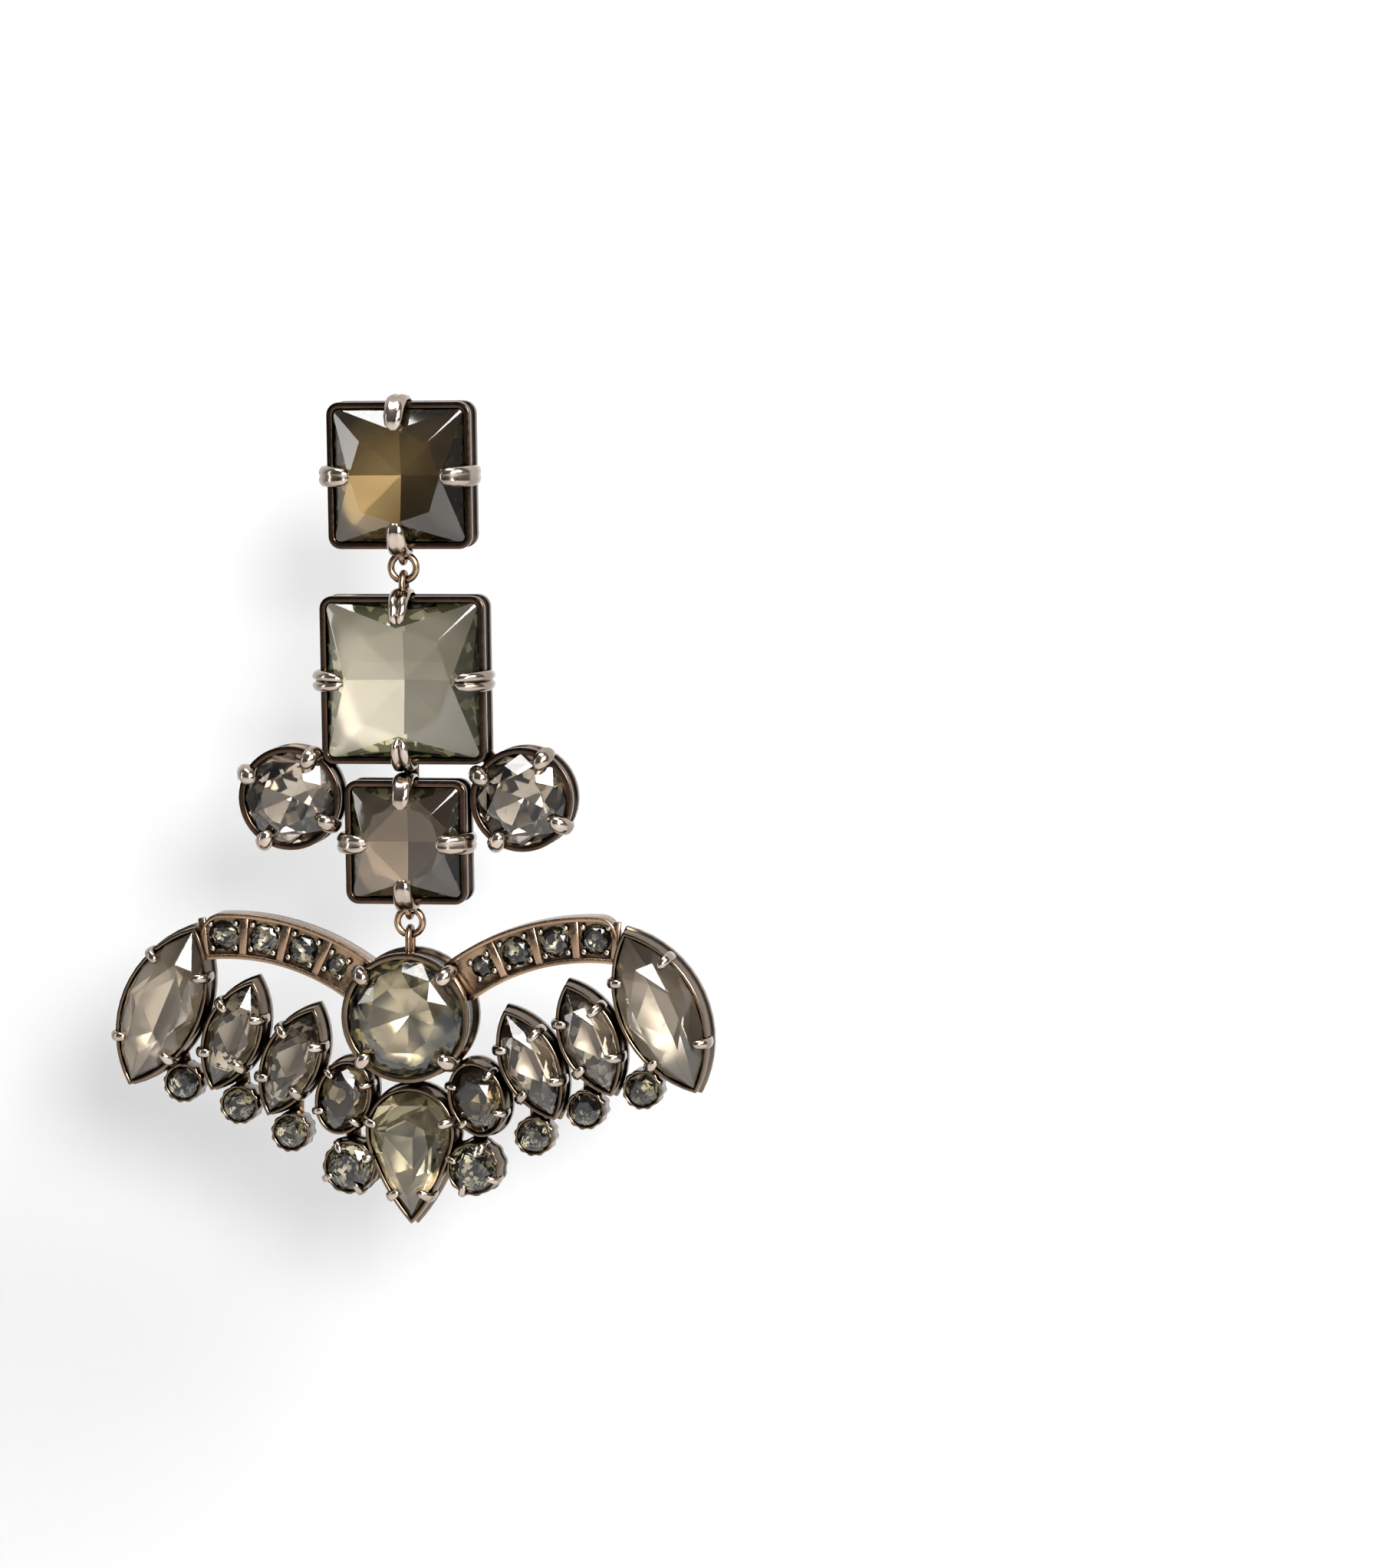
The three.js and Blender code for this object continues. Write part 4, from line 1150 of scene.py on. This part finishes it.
def sweep():
    """A pale card that hangs behind the earring, clear of its backward swing, and runs forward below it into
    a floor. Seen from behind it is clear, so that it hides nothing there."""
    nothing_selected()
    bpy.ops.mesh.primitive_plane_add(size=1)
    card = bpy.context.object
    card.name = "card_and_floor"
    bend_y = CARD_Y - SWEEP_BEND
    bend_z = FLOOR_Z + SWEEP_BEND
    profile = [Vector((CARD_Y, CARD_TOP)), Vector((CARD_Y, bend_z))]
    profile += [spot(a, SWEEP_BEND, (bend_y, bend_z)) for a in range(-10, -90, -10)]
    profile += [Vector((bend_y, FLOOR_Z)), Vector((FLOOR_FRONT, FLOOR_Z))]
    mesh = bmesh.new()
    ends = (-SWEEP_HALF_WIDTH, SWEEP_HALF_WIDTH)
    rows = [[mesh.verts.new(Vector((x, p.x, p.y)) * MM) for x in ends] for p in profile]
    for upper, lower in zip(rows, rows[1:]):
        mesh.faces.new((upper[0], upper[1], lower[1], lower[0]))
    mesh.to_mesh(card.data)
    mesh.free()
    selected(card)
    bpy.ops.object.mode_set(mode="EDIT")
    bpy.ops.mesh.select_all(action="SELECT")
    bpy.ops.mesh.normals_make_consistent(inside=False)
    bpy.ops.object.mode_set(mode="OBJECT")
    if card.data.polygons[0].normal.y > 0:
        card.data.flip_normals()
    smoothed(card, CARD_SMOOTH)
    material, tree, shader = matt_card("pale_card", "#969696")
    shader.inputs["Emission Color"].default_value = linear("#ffffff")
    shader.inputs["Emission Strength"].default_value = CARD_GLOW
    clear = add(tree, "ShaderNodeBsdfTransparent")
    side = add(tree, "ShaderNodeNewGeometry")
    mix = add(tree, "ShaderNodeMixShader", {
        0: side.outputs["Backfacing"], 1: shader.outputs[0], 2: clear.outputs[0],
    })
    tree.links.new(mix.outputs[0], tree.nodes["Material Output"].inputs["Surface"])
    card.data.materials.append(material)
    card.data.materials.append(matt_card("pale_floor", "#dcdcdc")[0])
    for face in card.data.polygons:
        face.material_index = 1 if face.center.z < (FLOOR_Z + 1) * MM else 0


def lamp(name, place, size, power):
    """A soft rectangular lamp that is aimed at the earring."""
    data = bpy.data.lights.new(name, "AREA")
    data.shape = "RECTANGLE"
    data.size, data.size_y = size[0] * MM, size[1] * MM
    data.energy = power
    light = bpy.data.objects.new(name, data)
    bpy.context.collection.objects.link(light)
    light.location = Vector(place) * MM
    way = (LAMP_AIM - Vector(place)).normalized()
    light.rotation_euler = way.to_track_quat("-Z", "Y").to_euler()


def studio():
    """A bright softbox at the upper right, a far one behind it, a strip above, a weak card at the left, and
    a room that is light at the sides and dim in front."""
    for name, (place, size, power) in LAMPS.items():
        lamp(name, place, size, power)
    world = bpy.data.worlds.new("dim_room")
    bpy.context.scene.world = world
    world.use_nodes = True
    tree = world.node_tree
    room = tree.nodes["Background"]
    way = add(tree, "ShaderNodeTexCoord").outputs["Generated"]
    parts = add(tree, "ShaderNodeSeparateXYZ", {"Vector": way})
    height = add(tree, "ShaderNodeMapRange", {
        "Value": parts.outputs["Z"], "From Min": ROOM_HEIGHTS[0], "From Max": ROOM_HEIGHTS[1],
    })
    front = add(tree, "ShaderNodeValToRGB", {"Fac": height.outputs["Result"]})
    for element, colour in zip(front.color_ramp.elements, ROOM_FRONT):
        element.color = linear(colour)
    to_side = add(tree, "ShaderNodeMapRange", {
        "Value": parts.outputs["Y"], "From Min": ROOM_DEPTHS[0], "From Max": ROOM_DEPTHS[1],
    })
    tone = add(tree, "ShaderNodeMix", {
        "Factor": to_side.outputs["Result"],
        MIX_FIRST: front.outputs["Color"],
        MIX_SECOND: linear(ROOM_SIDE),
    }, data_type="RGBA")
    tree.links.new(tone.outputs[MIX_RESULT], room.inputs["Color"])
    room.inputs["Strength"].default_value = ROOM_STRENGTH
    bpy.context.scene.view_settings.view_transform = "Standard"


sweep()
studio()
